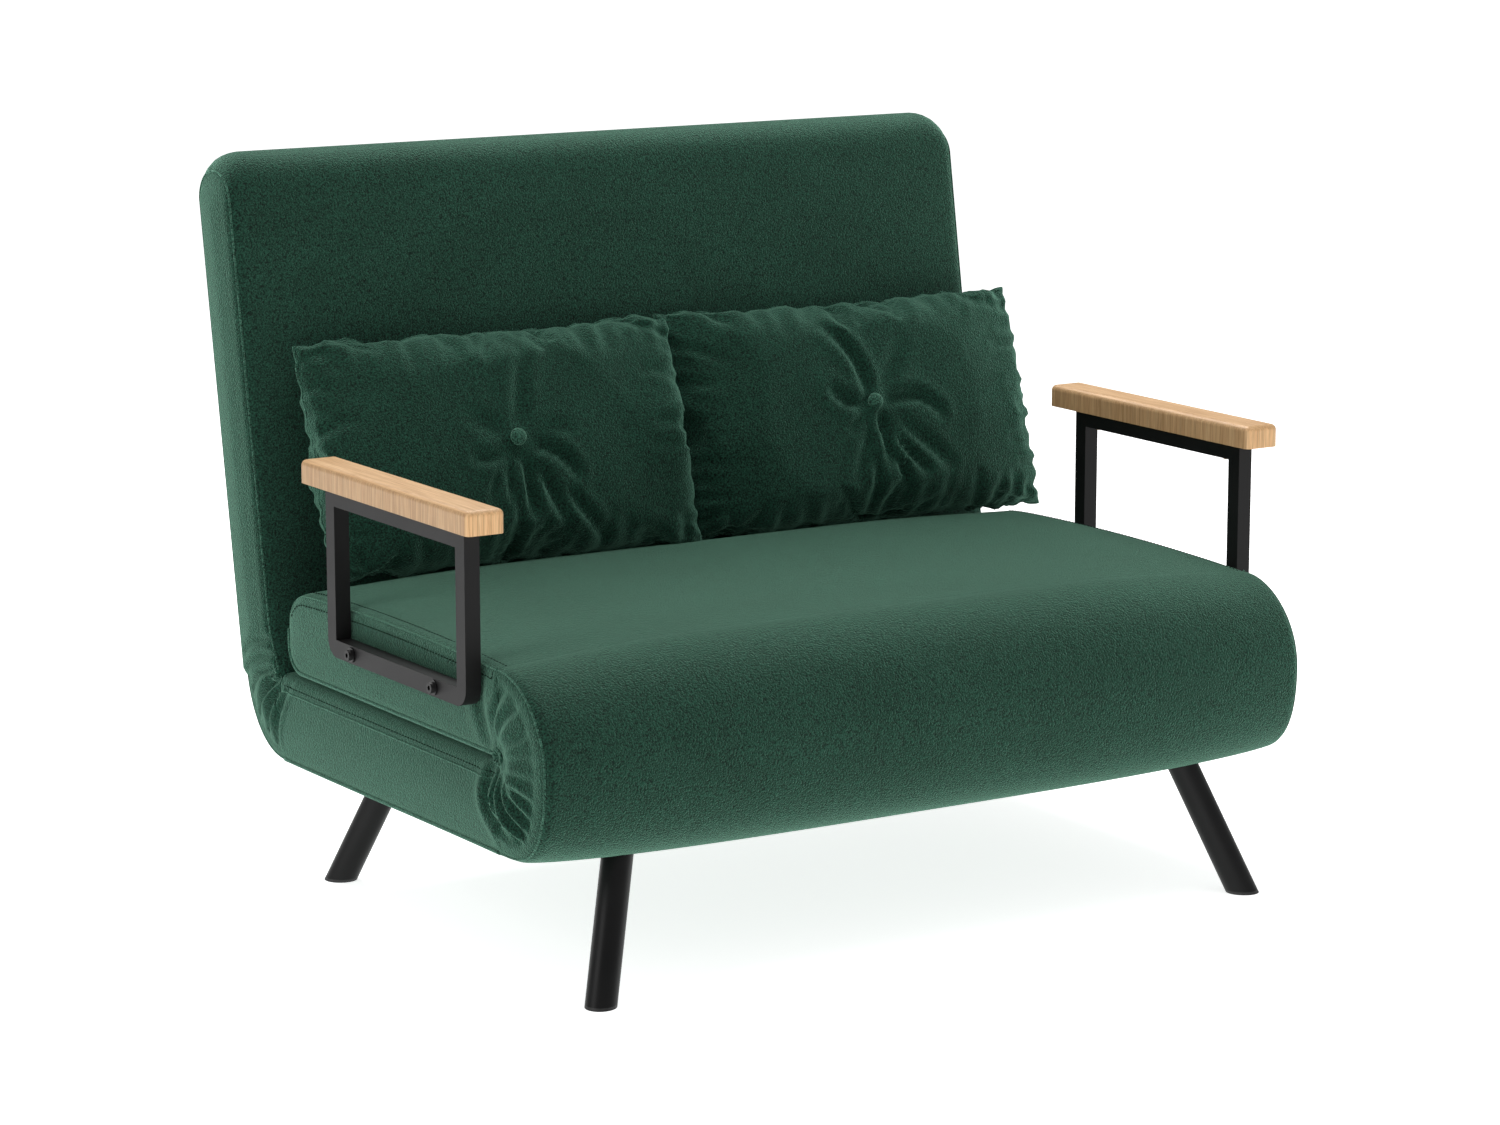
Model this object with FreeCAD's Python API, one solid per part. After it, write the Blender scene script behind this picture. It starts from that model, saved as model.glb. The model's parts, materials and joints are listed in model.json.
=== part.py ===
"""Two-seat futon sofa bed: a Z-folding bed of three padded sections on splayed steel legs.

The base section stands on the legs. The seat section lies on it and turns over forwards
about the front hinges, so that its two arm loops become the feet of the foot end. The back
section leans on the rear hinges and drops backwards to lie flat. Two loose pillows lean on it.

Frame: seen from the front, +X is to the right and +Y is away. +Z is up, and the floor is
z = 0 under the middle of the sofa. All dimensions are in millimetres.
"""

import FreeCAD
import Part
import math
import os

from FreeCAD import Vector

# ---- driving dimensions -------------------------------------------------------------
# padded sections
HALF_WIDTH = 600.0
BASE_BOTTOM = 182.0
BASE_TOP = 305.0
BASE_REAR = 252.5
SEAT_BOTTOM = 312.0
SEAT_TOP = 438.0
SEAT_REAR = 233.5
BACK_THICKNESS = 101.0
BACK_START = 12.0
BACK_SEAM = 686.0
BACK_TOP_RISE = 40.0
COVER = 2.0
CORNER_RADIUS = 18.0

# hinges
FRONT_AXIS_Y = -370.5
FRONT_AXIS_Z = 316.0
REAR_AXIS_Y = 270.5
REAR_AXIS_Z = 305.0
BACK_LEAN = 9.5
FOLD_GAP = 0.5
EYE_RADIUS = 12.5
PIN_RADIUS = 5.0
PIN_CLEARANCE = 0.05
PLATE = 4.0
PLATE_GAP = 0.5

# soft fabric corners that bridge the folds
WRAP_DEPTH = 113.3
WRAP_LOWER_BOTTOM = 191.0
SOFT_GAP = 0.6
GUSSET_START_RADIUS = 122.3
GUSSET_END_RADIUS = 101.7
GUSSET_START_ANGLE = -98.2
GUSSET_SPLIT_ANGLE = -46.8
GUSSET_END_ANGLE = -2.8

# steel frames inside the foam
TUBE = 25.0
BASE_FRAME_HALF = 578.0
SEAT_FRAME_HALF = BASE_FRAME_HALF + PLATE + PLATE_GAP
BASE_FRAME_Z = 244.0
SEAT_FRAME_Z = 384.0
CROSS_X = 190.0
STRAP_WIDTH = 50.0
STRAP_THICKNESS = 2.0
STRAP_RISE = 8.5
STRAP_COUNT = 9

# legs
LEG_RADIUS = 20.8
LEG_WALL = 2.0
LEG_TOP = 186.0
LEG_SPLAY = 0.3473
FOOT_X = 514.8
FOOT_FRONT_Y = -471.6
FOOT_REAR_Y = 253.3
GLIDE_HEIGHT = 4.0
PLUG_LENGTH = 20.0
BRACKET_THICKNESS = 4.0
BRACKET_HALF_X = 42.0
BRACKET_REACH = 19.0
LEG_BOLT_RADIUS = 4.0
LEG_BOLT_HEAD = 2.5

# arms
ARM_INNER = 605.0
ARM_OUTER = 627.0
ARM_FRONT = -331.4
ARM_REAR = 53.3
ARM_BOTTOM = 372.0
ARM_TOP = 600.4
ARM_BAR = 24.0
ARM_CORNER = 25.0
PAD_INNER = 588.0
PAD_OUTER = 643.0
PAD_FRONT = -369.3
PAD_REAR = 96.7
PAD_TOP = 632.0
PAD_EDGE = 8.0
ARM_BOLT_YS = (-245.6, -15.2)
ARM_BOLT_RADIUS = 4.0
ARM_BOLT_FLANGE = 10.0
ARM_BOLT_HEAD = 7.0
PAD_SCREW_YS = (-290.0, 10.0)
PAD_SCREW_RADIUS = 2.5

# pillows, in the back section's own axes: up the back, and out from its front face
PILLOW_HEIGHT = 322.0
PILLOW_HALF_THICKNESS = 60.0
PILLOW_EDGE = 7.0
PILLOW_UP = 284.0
PILLOW_OUT = 72.0
PILLOW_TILT = 8.5
PILLOW_FACE = 0.4
LEFT_PILLOW = (-552.0, 34.0)
RIGHT_PILLOW = (38.0, 641.0)
BUTTON_RADIUS = 11.0
BUTTON_THICKNESS = 6.0

SIDES = (-1, 1)


# ---- helpers ------------------------------------------------------------------------
def box(x0, x1, y0, y1, z0, z1):
    """A block between two corners."""
    return Part.makeBox(x1 - x0, y1 - y0, z1 - z0, Vector(x0, y0, z0))


def side_box(side, x0, x1, y0, y1, z0, z1):
    """A block on one side of the sofa, with x measured outwards from the middle."""
    return box(min(side * x0, side * x1), max(side * x0, side * x1), y0, y1, z0, z1)


def rod(radius, start, end):
    """A round bar between two points."""
    return Part.makeCylinder(radius, (end - start).Length, start, end - start)


def cross_rod(radius, side, x0, x1, y, z):
    """A round bar along X on one side of the sofa."""
    return rod(radius, Vector(side * x0, y, z), Vector(side * x1, y, z))


def prism(side, x0, x1, points):
    """A plate along X whose outline is a list of (y, z) corners."""
    outline = Part.makePolygon([Vector(side * x0, y, z) for y, z in points + points[:1]])
    return Part.Face(outline).extrude(Vector(side * (x1 - x0), 0, 0))


def fuse(shapes):
    """One solid out of touching or overlapping ones."""
    return shapes[0].multiFuse(shapes[1:]).removeSplitter()


def cut(shape, tools):
    """The shape with every tool's volume taken away."""
    return shape.cut(Part.makeCompound(tools))


def group(shapes):
    """Several separate solids of one node."""
    return Part.makeCompound(shapes)


def long_edges(shape, length):
    """The straight edges of that length along X."""
    found = []
    for edge in shape.Edges:
        run = edge.Vertexes[0].Point - edge.Vertexes[-1].Point
        if abs(abs(run.x) - length) < 0.01 and abs(run.y) + abs(run.z) < 0.01:
            found.append(edge)
    return found


def lean(shape):
    """Tips a shape from the back section's upright axes to where the back stands."""
    moved = shape.copy()
    moved.rotate(Vector(0, 0, 0), Vector(1, 0, 0), -BACK_LEAN)
    moved.translate(Vector(0, REAR_AXIS_Y, REAR_AXIS_Z))
    return moved


def polar(angle, radius):
    """A (y, z) point about the rear hinge axis, with the angle up from straight back."""
    turn = math.radians(angle)
    return REAR_AXIS_Y + radius * math.cos(turn), REAR_AXIS_Z + radius * math.sin(turn)


# ---- steel frames -------------------------------------------------------------------
def ring(half, front, rear, mid):
    """A rectangular tube frame with two cross tubes, flat in XY."""
    low, high = mid - TUBE / 2, mid + TUBE / 2
    outer = box(-half, half, front, rear, low, high)
    inside = box(-half + TUBE, half - TUBE, front + TUBE, rear - TUBE, low, high)
    crosses = [
        box(x - TUBE / 2, x + TUBE / 2, front + TUBE / 2, rear - TUBE / 2, low, high)
        for x in (-CROSS_X, CROSS_X)
    ]
    return fuse([outer.cut(inside)] + crosses)


def straps(half, front, rear, mid):
    """Flat elastic straps between the frame's tubes, set near the tubes' upper faces."""
    pitch = (rear - front - 2 * TUBE) / STRAP_COUNT
    bays = (
        (-half + TUBE, -CROSS_X - TUBE / 2),
        (-CROSS_X + TUBE / 2, CROSS_X - TUBE / 2),
        (CROSS_X + TUBE / 2, half - TUBE),
    )
    low = mid + STRAP_RISE
    high = low + STRAP_THICKNESS
    made = []
    for row in range(STRAP_COUNT):
        y = front + TUBE + pitch * (row + 0.5)
        for x0, x1 in bays:
            made.append(box(x0, x1, y - STRAP_WIDTH / 2, y + STRAP_WIDTH / 2, low, high))
    return group(made)


BASE_FRONT = FRONT_AXIS_Y + FOLD_GAP
FRAME_INSET = 5.5
BASE_FRAME_FRONT = BASE_FRONT + FRAME_INSET
BASE_FRAME_REAR = BASE_REAR - 12.0
SEAT_FRAME_REAR = SEAT_REAR - 12.0
BACK_FRAME_START = 24.0
BACK_FRAME_END = BACK_SEAM - 6.0

base_frame = ring(BASE_FRAME_HALF, BASE_FRAME_FRONT, BASE_FRAME_REAR, BASE_FRAME_Z)
base_webbing = straps(BASE_FRAME_HALF, BASE_FRAME_FRONT, BASE_FRAME_REAR, BASE_FRAME_Z)
seat_frame = ring(SEAT_FRAME_HALF, BASE_FRAME_FRONT, SEAT_FRAME_REAR, SEAT_FRAME_Z)
seat_webbing = straps(SEAT_FRAME_HALF, BASE_FRAME_FRONT, SEAT_FRAME_REAR, SEAT_FRAME_Z)


def upright(shape):
    """Stands a flat frame up: its Y becomes the height and its Z the depth, rear to the back."""
    moved = shape.copy()
    moved.rotate(Vector(0, 0, 0), Vector(1, 0, 0), 90)
    moved.rotate(Vector(0, 0, 0), Vector(0, 0, 1), 180)
    return moved


back_frame_upright = upright(
    ring(SEAT_FRAME_HALF, BACK_FRAME_START, BACK_FRAME_END, BACK_THICKNESS / 2)
)
back_webbing_upright = upright(
    straps(SEAT_FRAME_HALF, BACK_FRAME_START, BACK_FRAME_END, BACK_THICKNESS / 2)
)


# ---- legs ---------------------------------------------------------------------------
def leg_point(side, foot_y, z):
    """The leg's centre at a height: its foot is splayed out sideways and lengthways."""
    outward = -1 if foot_y < 0 else 1
    return Vector(side * (FOOT_X - LEG_SPLAY * z), foot_y - outward * LEG_SPLAY * z, z)


def leg_bar(side, foot_y, radius, low, high):
    """A round bar along the leg's axis, with both ends cut level."""
    beyond = 30.0
    bar = rod(
        radius,
        leg_point(side, foot_y, low - beyond),
        leg_point(side, foot_y, high + beyond),
    )
    reach = 4 * FOOT_X
    return bar.common(box(-reach, reach, -reach, reach, low, high))


def leg_tube(side, foot_y):
    """One round steel leg, open at both ends."""
    outer = leg_bar(side, foot_y, LEG_RADIUS, GLIDE_HEIGHT, LEG_TOP)
    return outer.cut(leg_bar(side, foot_y, LEG_RADIUS - LEG_WALL, 0, LEG_TOP + 1))


def foot_glide(side, foot_y):
    """A plastic end cap that stands on the floor and plugs into the tube."""
    cap = leg_bar(side, foot_y, LEG_RADIUS, 0, GLIDE_HEIGHT)
    plug = leg_bar(
        side, foot_y, LEG_RADIUS - LEG_WALL, GLIDE_HEIGHT, GLIDE_HEIGHT + PLUG_LENGTH
    )
    return fuse([cap, plug])


def leg_bolt(side, foot_y):
    """A bolt down through the bracket into the leg's top plug, with a low head."""
    top = leg_point(side, foot_y, LEG_TOP)
    face = LEG_TOP + BRACKET_THICKNESS
    head = rod(
        2 * LEG_BOLT_RADIUS,
        Vector(top.x, top.y, face),
        Vector(top.x, top.y, face + LEG_BOLT_HEAD),
    )
    shank = rod(
        LEG_BOLT_RADIUS,
        Vector(top.x, top.y, LEG_TOP - 0.8 * PLUG_LENGTH),
        Vector(top.x, top.y, face),
    )
    return fuse([head, shank])


def bolt_hole(side, foot_y):
    """The clearance hole of a leg bolt."""
    top = leg_point(side, foot_y, LEG_TOP)
    return rod(
        LEG_BOLT_RADIUS + PIN_CLEARANCE,
        Vector(top.x, top.y, LEG_TOP - PLUG_LENGTH - 1),
        Vector(top.x, top.y, LEG_TOP + 3 * BRACKET_THICKNESS),
    )


def leg_plug(side, foot_y):
    """A steel plug welded in the leg's top, tapped for the bolt."""
    plug = leg_bar(side, foot_y, LEG_RADIUS - LEG_WALL, LEG_TOP - PLUG_LENGTH, LEG_TOP)
    return plug.cut(bolt_hole(side, foot_y))


def leg_bracket(side, foot_y):
    """A plate over the leg's top, and a riser that is welded under the frame's end tube."""
    top = leg_point(side, foot_y, LEG_TOP)
    low, high = LEG_TOP, LEG_TOP + BRACKET_THICKNESS
    if foot_y < 0:
        tube = (BASE_FRAME_FRONT, BASE_FRAME_FRONT + TUBE)
        span = (top.y - BRACKET_REACH, tube[1])
    else:
        tube = (BASE_FRAME_REAR - TUBE, BASE_FRAME_REAR)
        span = (top.y - BRACKET_REACH, tube[1])
    x0, x1 = top.x - BRACKET_HALF_X, top.x + BRACKET_HALF_X
    plate = box(x0, x1, span[0], span[1], low, high)
    riser = box(
        top.x - TUBE, top.x + TUBE, tube[0], tube[1], high, BASE_FRAME_Z - TUBE / 2
    )
    return fuse([plate, riser]).cut(bolt_hole(side, foot_y))


LEG_PLACES = {
    "front_left": (-1, FOOT_FRONT_Y),
    "front_right": (1, FOOT_FRONT_Y),
    "rear_left": (-1, FOOT_REAR_Y),
    "rear_right": (1, FOOT_REAR_Y),
}
leg_brackets = group([leg_bracket(*place) for place in LEG_PLACES.values()])
leg_plugs = group([leg_plug(*place) for place in LEG_PLACES.values()])
leg_bolts = group([leg_bolt(*place) for place in LEG_PLACES.values()])
foot_glides = group([foot_glide(*place) for place in LEG_PLACES.values()])
bolt_passages = [bolt_hole(*place) for place in LEG_PLACES.values()]
leg_passages = [
    leg_bar(side, foot_y, LEG_RADIUS + SOFT_GAP, 0, LEG_TOP)
    for side, foot_y in LEG_PLACES.values()
]


# ---- hinges -------------------------------------------------------------------------
BASE_PLATE_X = (BASE_FRAME_HALF, BASE_FRAME_HALF + PLATE)
MOVING_PLATE_X = (SEAT_FRAME_HALF, SEAT_FRAME_HALF + PLATE)
BAY_X = (BASE_FRAME_HALF - 8.0, MOVING_PLATE_X[1] + 6.0)
BAY_MARGIN = 2.0


def eye_plate(side, layer, axis, points, hole):
    """A flat hinge plate: its outline joined to a round eye with a hole at the axis."""
    eye = cross_rod(EYE_RADIUS, side, layer[0], layer[1], axis[0], axis[1])
    plate = fuse([eye, prism(side, layer[0], layer[1], points)])
    return plate.cut(cross_rod(hole, side, layer[0] - 1, layer[1] + 1, axis[0], axis[1]))


def hinge_pin(side, axis):
    """A rivet pressed into the base plate: the moving plate turns on it."""
    shank = cross_rod(
        PIN_RADIUS, side, BASE_PLATE_X[0], MOVING_PLATE_X[1] + 0.3, axis[0], axis[1]
    )
    inner = cross_rod(9.0, side, BASE_PLATE_X[0] - 3, BASE_PLATE_X[0], axis[0], axis[1])
    outer = cross_rod(
        9.0, side, MOVING_PLATE_X[1] + 0.3, MOVING_PLATE_X[1] + 3.3, axis[0], axis[1]
    )
    return fuse([shank, inner, outer])


FRONT_AXIS = (FRONT_AXIS_Y, FRONT_AXIS_Z)
REAR_AXIS = (REAR_AXIS_Y, REAR_AXIS_Z)
front_web = BASE_FRONT + 0.5
base_low, base_high = BASE_FRAME_Z - TUBE / 2, BASE_FRAME_Z + TUBE / 2
seat_low, seat_high = SEAT_FRAME_Z - TUBE / 2, SEAT_FRAME_Z + TUBE / 2
FRONT_BASE_OUTLINE = [
    (front_web, base_low),
    (front_web + 32, base_low),
    (front_web + 32, base_high),
    (front_web + 14, FRONT_AXIS_Z),
    (front_web, FRONT_AXIS_Z),
]
FRONT_SEAT_OUTLINE = [
    (front_web, FRONT_AXIS_Z),
    (front_web + 14, FRONT_AXIS_Z),
    (front_web + 32, seat_low),
    (front_web + 32, seat_high),
    (front_web, seat_high),
]
REAR_BASE_OUTLINE = [
    (BASE_FRAME_REAR - TUBE, base_low),
    (BASE_FRAME_REAR, base_low),
    (REAR_AXIS_Y + 9, REAR_AXIS_Z - 8),
    (REAR_AXIS_Y - 9, REAR_AXIS_Z + 7),
    (BASE_FRAME_REAR - TUBE, base_high),
]
# the back plate's outline is in the back's upright axes: (depth, height) from the hinge axis
BACK_PLATE_OUTLINE = [
    (-6, 9),
    (9, -6),
    (BACK_THICKNESS / 2 + TUBE / 2, BACK_FRAME_START + TUBE / 2),
    (BACK_THICKNESS / 2 + TUBE / 2, BACK_FRAME_START + TUBE),
    (BACK_THICKNESS / 2 - TUBE / 2, BACK_FRAME_START + TUBE),
]

TOOTH_TIP = 16.0
TOOTH_COUNT = 6
TOOTH_PITCH = 15.0
TOOTH_FIRST = 148.0
PAWL_GAP = 0.6
PAWL_ANGLE = 222.0
PAWL_PIVOT_RADIUS = 44.0
PAWL_PIN_RADIUS = 3.0


def tooth(side, index):
    """One saw tooth on the back plate's eye, in the back's upright axes."""
    turn = math.radians(TOOTH_FIRST + TOOTH_PITCH * index)
    step = math.radians(0.8 * TOOTH_PITCH)
    root = EYE_RADIUS - 1.5
    points = [
        (root * math.cos(turn), root * math.sin(turn)),
        (TOOTH_TIP * math.cos(turn), TOOTH_TIP * math.sin(turn)),
        (root * math.cos(turn + step), root * math.sin(turn + step)),
    ]
    return prism(side, MOVING_PLATE_X[0], MOVING_PLATE_X[1], points)


def back_plate(side):
    """The back's hinge plate, with the ratchet teeth that set the lean."""
    plate = eye_plate(
        side, MOVING_PLATE_X, (0, 0), BACK_PLATE_OUTLINE, PIN_RADIUS + PIN_CLEARANCE
    )
    toothed = fuse([plate] + [tooth(side, index) for index in range(TOOTH_COUNT)])
    return lean(toothed)


def pawl_pivot():
    """The (y, z) place of the pawl's own pin on the base plate."""
    return polar(PAWL_ANGLE, PAWL_PIVOT_RADIUS)


def pawl(side):
    """The lever whose nose drops into the ratchet, drawn lifted just clear of it."""
    nose = polar(PAWL_ANGLE, TOOTH_TIP + PAWL_GAP)
    ahead = polar(PAWL_ANGLE - 14, TOOTH_TIP + PAWL_GAP + 4)
    behind = polar(PAWL_ANGLE + 14, TOOTH_TIP + PAWL_GAP + 4)
    pivot = pawl_pivot()
    layer = (BASE_PLATE_X[1], BASE_PLATE_X[1] + PLATE)
    arm = prism(side, layer[0], layer[1], [nose, behind, pivot, ahead])
    hub = cross_rod(7.0, side, layer[0], layer[1], pivot[0], pivot[1])
    bore = cross_rod(
        PAWL_PIN_RADIUS + PIN_CLEARANCE, side, layer[0] - 1, layer[1] + 1, *pivot
    )
    return fuse([arm, hub]).cut(bore)


def pawl_pin(side):
    """The rivet that the pawl turns on."""
    pivot = pawl_pivot()
    outer = BASE_PLATE_X[1] + PLATE
    shank = cross_rod(PAWL_PIN_RADIUS, side, BASE_PLATE_X[0] + 1, outer, *pivot)
    head = cross_rod(5.0, side, outer, outer + 1.5, *pivot)
    return fuse([shank, head])


def rear_base_plate(side):
    """The base's rear hinge plate, with a hole for the pawl's pin."""
    plate = eye_plate(side, BASE_PLATE_X, REAR_AXIS, REAR_BASE_OUTLINE, PIN_RADIUS)
    return plate.cut(
        cross_rod(PAWL_PIN_RADIUS, side, BASE_PLATE_X[0] + 1, BASE_PLATE_X[1] + 1, *pawl_pivot())
    )


front_base_plates = group(
    [eye_plate(s, BASE_PLATE_X, FRONT_AXIS, FRONT_BASE_OUTLINE, PIN_RADIUS) for s in SIDES]
)
front_seat_plates = group(
    [
        eye_plate(
            s, MOVING_PLATE_X, FRONT_AXIS, FRONT_SEAT_OUTLINE, PIN_RADIUS + PIN_CLEARANCE
        )
        for s in SIDES
    ]
)
front_pins = group([hinge_pin(s, FRONT_AXIS) for s in SIDES])
rear_base_plates = group([rear_base_plate(s) for s in SIDES])
rear_back_plates = group([back_plate(s) for s in SIDES])
rear_pins = group([hinge_pin(s, REAR_AXIS) for s in SIDES])
rear_pawls = group([pawl(s) for s in SIDES])
rear_pawl_pins = group([pawl_pin(s) for s in SIDES])

# bays that the foam and covers leave open for the hinge plates, all ending at a fold
base_front_bays = [
    side_box(s, *BAY_X, BASE_FRONT - 1, BASE_FRONT + 36, base_low - BAY_MARGIN, BASE_TOP + 1)
    for s in SIDES
]
base_rear_bays = [
    side_box(s, *BAY_X, BASE_FRAME_REAR - TUBE - 10, BASE_REAR + 1, base_low - 2, BASE_TOP + 1)
    for s in SIDES
]
seat_front_bays = [
    side_box(s, *BAY_X, BASE_FRONT - 1, BASE_FRONT + 36, SEAT_BOTTOM - 1, seat_high + 2)
    for s in SIDES
]
back_bays_upright = [
    side_box(s, *BAY_X, -1, BACK_THICKNESS / 2 + TUBE / 2 + 2, BACK_START - 1, BACK_FRAME_START + 28)
    for s in SIDES
]


# ---- arms ---------------------------------------------------------------------------
ARM_BOLT_Z = SEAT_FRAME_Z
SPACER_RADIUS = 9.0
NUT_THICKNESS = 6.5
NUT_ACROSS_FLATS = 13.0
HEX_SOCKET = 6.0
SOCKET_DEPTH = 4.5
SCREW_HEAD_RADIUS = 5.0
SCREW_HEAD_HEIGHT = 2.5
SCREW_DEPTH = 22.0


def arm_loop(side):
    """A flat rectangular steel loop, rounded at its bottom corners, with bolt and screw holes."""
    outer = side_box(side, ARM_INNER, ARM_OUTER, ARM_FRONT, ARM_REAR, ARM_BOTTOM, ARM_TOP)
    bottom = [e for e in long_edges(outer, ARM_OUTER - ARM_INNER) if e.BoundBox.ZMax < ARM_TOP - 1]
    outer = outer.makeFillet(ARM_CORNER, bottom)
    window = side_box(
        side,
        ARM_INNER - 1,
        ARM_OUTER + 1,
        ARM_FRONT + ARM_BAR,
        ARM_REAR - ARM_BAR,
        ARM_BOTTOM + ARM_BAR,
        ARM_TOP - ARM_BAR,
    )
    bolt_holes = [
        cross_rod(ARM_BOLT_RADIUS + 0.2, side, ARM_INNER - 1, ARM_OUTER + 1, y, ARM_BOLT_Z)
        for y in ARM_BOLT_YS
    ]
    mid = side * (ARM_INNER + ARM_OUTER) / 2
    screw_holes = [
        rod(
            PAD_SCREW_RADIUS + 0.2,
            Vector(mid, y, ARM_TOP - ARM_BAR - 1),
            Vector(mid, y, ARM_TOP + 1),
        )
        for y in PAD_SCREW_YS
    ]
    return cut(outer, [window] + bolt_holes + screw_holes)


def arm_pad(side):
    """A wooden armrest with rounded top edges and corners, and pilot holes underneath."""
    pad = side_box(side, PAD_INNER, PAD_OUTER, PAD_FRONT, PAD_REAR, ARM_TOP, PAD_TOP)
    rounded = [e for e in pad.Edges if e.BoundBox.ZMax > ARM_TOP + 1]
    pad = pad.makeFillet(PAD_EDGE, rounded)
    mid = side * (ARM_INNER + ARM_OUTER) / 2
    pilots = [
        rod(
            PAD_SCREW_RADIUS,
            Vector(mid, y, ARM_TOP - 1),
            Vector(mid, y, ARM_TOP + SCREW_DEPTH),
        )
        for y in PAD_SCREW_YS
    ]
    return cut(pad, pilots)


def pad_screw(side, y):
    """A wood screw up through the loop's top bar into the pad."""
    mid = side * (ARM_INNER + ARM_OUTER) / 2
    under = ARM_TOP - ARM_BAR
    head = rod(SCREW_HEAD_RADIUS, Vector(mid, y, under - SCREW_HEAD_HEIGHT), Vector(mid, y, under))
    shank = rod(PAD_SCREW_RADIUS, Vector(mid, y, under), Vector(mid, y, ARM_TOP + SCREW_DEPTH))
    return fuse([head, shank])


def hexagon(side, across_flats, x0, x1, y, z):
    """A hexagonal bar along X."""
    corner = across_flats / math.sqrt(3)
    points = [
        (y + corner * math.cos(math.radians(60 * i)), z + corner * math.sin(math.radians(60 * i)))
        for i in range(6)
    ]
    return prism(side, x0, x1, points)


def arm_bolt(side, y):
    """A flanged hex socket bolt through the loop and its spacer into the seat frame."""
    frame_inner = SEAT_FRAME_HALF - TUBE
    flange = cross_rod(ARM_BOLT_FLANGE, side, ARM_OUTER, ARM_OUTER + 2, y, ARM_BOLT_Z)
    head = cross_rod(
        ARM_BOLT_HEAD, side, ARM_OUTER + 2, ARM_OUTER + 7.5, y, ARM_BOLT_Z
    )
    shank = cross_rod(
        ARM_BOLT_RADIUS, side, frame_inner - NUT_THICKNESS + 1, ARM_OUTER, y, ARM_BOLT_Z
    )
    socket = hexagon(
        side, HEX_SOCKET, ARM_OUTER + 7.5 - SOCKET_DEPTH, ARM_OUTER + 8, y, ARM_BOLT_Z
    )
    return fuse([flange, head, shank]).cut(socket)


def arm_spacer(side, y):
    """A bush that holds the loop just clear of the seat's side."""
    outer = cross_rod(SPACER_RADIUS, side, SEAT_FRAME_HALF, ARM_INNER, y, ARM_BOLT_Z)
    bore = cross_rod(
        ARM_BOLT_RADIUS + 0.2, side, SEAT_FRAME_HALF - 1, ARM_INNER + 1, y, ARM_BOLT_Z
    )
    return outer.cut(bore)


def weld_nut(side, y):
    """A nut welded inside the seat frame's side tube."""
    inner = SEAT_FRAME_HALF - TUBE
    nut = hexagon(side, NUT_ACROSS_FLATS, inner - NUT_THICKNESS, inner, y, ARM_BOLT_Z)
    return nut.cut(
        cross_rod(
            ARM_BOLT_RADIUS + PIN_CLEARANCE, side, inner - NUT_THICKNESS - 1, inner + 1, y, ARM_BOLT_Z
        )
    )


ARM_BOLT_PLACES = [(side, y) for side in SIDES for y in ARM_BOLT_YS]
arm_bolts = group([arm_bolt(*place) for place in ARM_BOLT_PLACES])
arm_spacers = group([arm_spacer(*place) for place in ARM_BOLT_PLACES])
arm_weld_nuts = group([weld_nut(*place) for place in ARM_BOLT_PLACES])
arm_pad_screws = group([pad_screw(side, y) for side in SIDES for y in PAD_SCREW_YS])
frame_bolt_holes = [
    cross_rod(
        ARM_BOLT_RADIUS + PIN_CLEARANCE,
        side,
        SEAT_FRAME_HALF - TUBE - 1,
        SEAT_FRAME_HALF + 1,
        y,
        ARM_BOLT_Z,
    )
    for side, y in ARM_BOLT_PLACES
]
seat_frame = cut(seat_frame, frame_bolt_holes)
spacer_passages = [
    cross_rod(SPACER_RADIUS, side, SEAT_FRAME_HALF, ARM_INNER, y, ARM_BOLT_Z)
    for side, y in ARM_BOLT_PLACES
]
nut_passages = [
    cross_rod(
        NUT_ACROSS_FLATS / math.sqrt(3) + 0.5,
        side,
        SEAT_FRAME_HALF - TUBE - NUT_THICKNESS - 1,
        SEAT_FRAME_HALF - TUBE,
        y,
        ARM_BOLT_Z,
    )
    for side, y in ARM_BOLT_PLACES
]


# ---- padded sections ----------------------------------------------------------------
def slab(inset, front, rear, low, high):
    """A padded section's block with rounded long edges, drawn in by the inset."""
    half = HALF_WIDTH - inset
    shape = box(-half, half, front + inset, rear - inset, low + inset, high - inset)
    rear_edges = [e for e in long_edges(shape, 2 * half) if e.BoundBox.YMin > (front + rear) / 2]
    return shape.makeFillet(CORNER_RADIUS - inset, rear_edges)


def halves(core, split, horizontal=True):
    """The core cut in two at a level, or at a depth when it stands up."""
    reach = 4 * HALF_WIDTH
    if horizontal:
        lower = box(-reach, reach, -reach, reach, -reach, split)
        upper = box(-reach, reach, -reach, reach, split, reach)
    else:
        lower = box(-reach, reach, -reach, split, -reach, reach)
        upper = box(-reach, reach, split, reach, -reach, reach)
    return core.common(lower), core.common(upper)


base_core = slab(COVER, BASE_FRONT, BASE_REAR, BASE_BOTTOM, BASE_TOP)
base_metal = [base_frame, base_webbing, leg_brackets, leg_bolts] + bolt_passages
base_inside = base_front_bays + base_rear_bays + leg_passages
base_filling = cut(cut(base_core, base_metal), base_inside)
base_foam_lower, base_foam_upper = halves(base_filling, BASE_FRAME_Z)
base_skin = slab(0, BASE_FRONT, BASE_REAR, BASE_BOTTOM, BASE_TOP).cut(base_core)
base_cover = cut(base_skin, base_inside + [leg_brackets])

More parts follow.
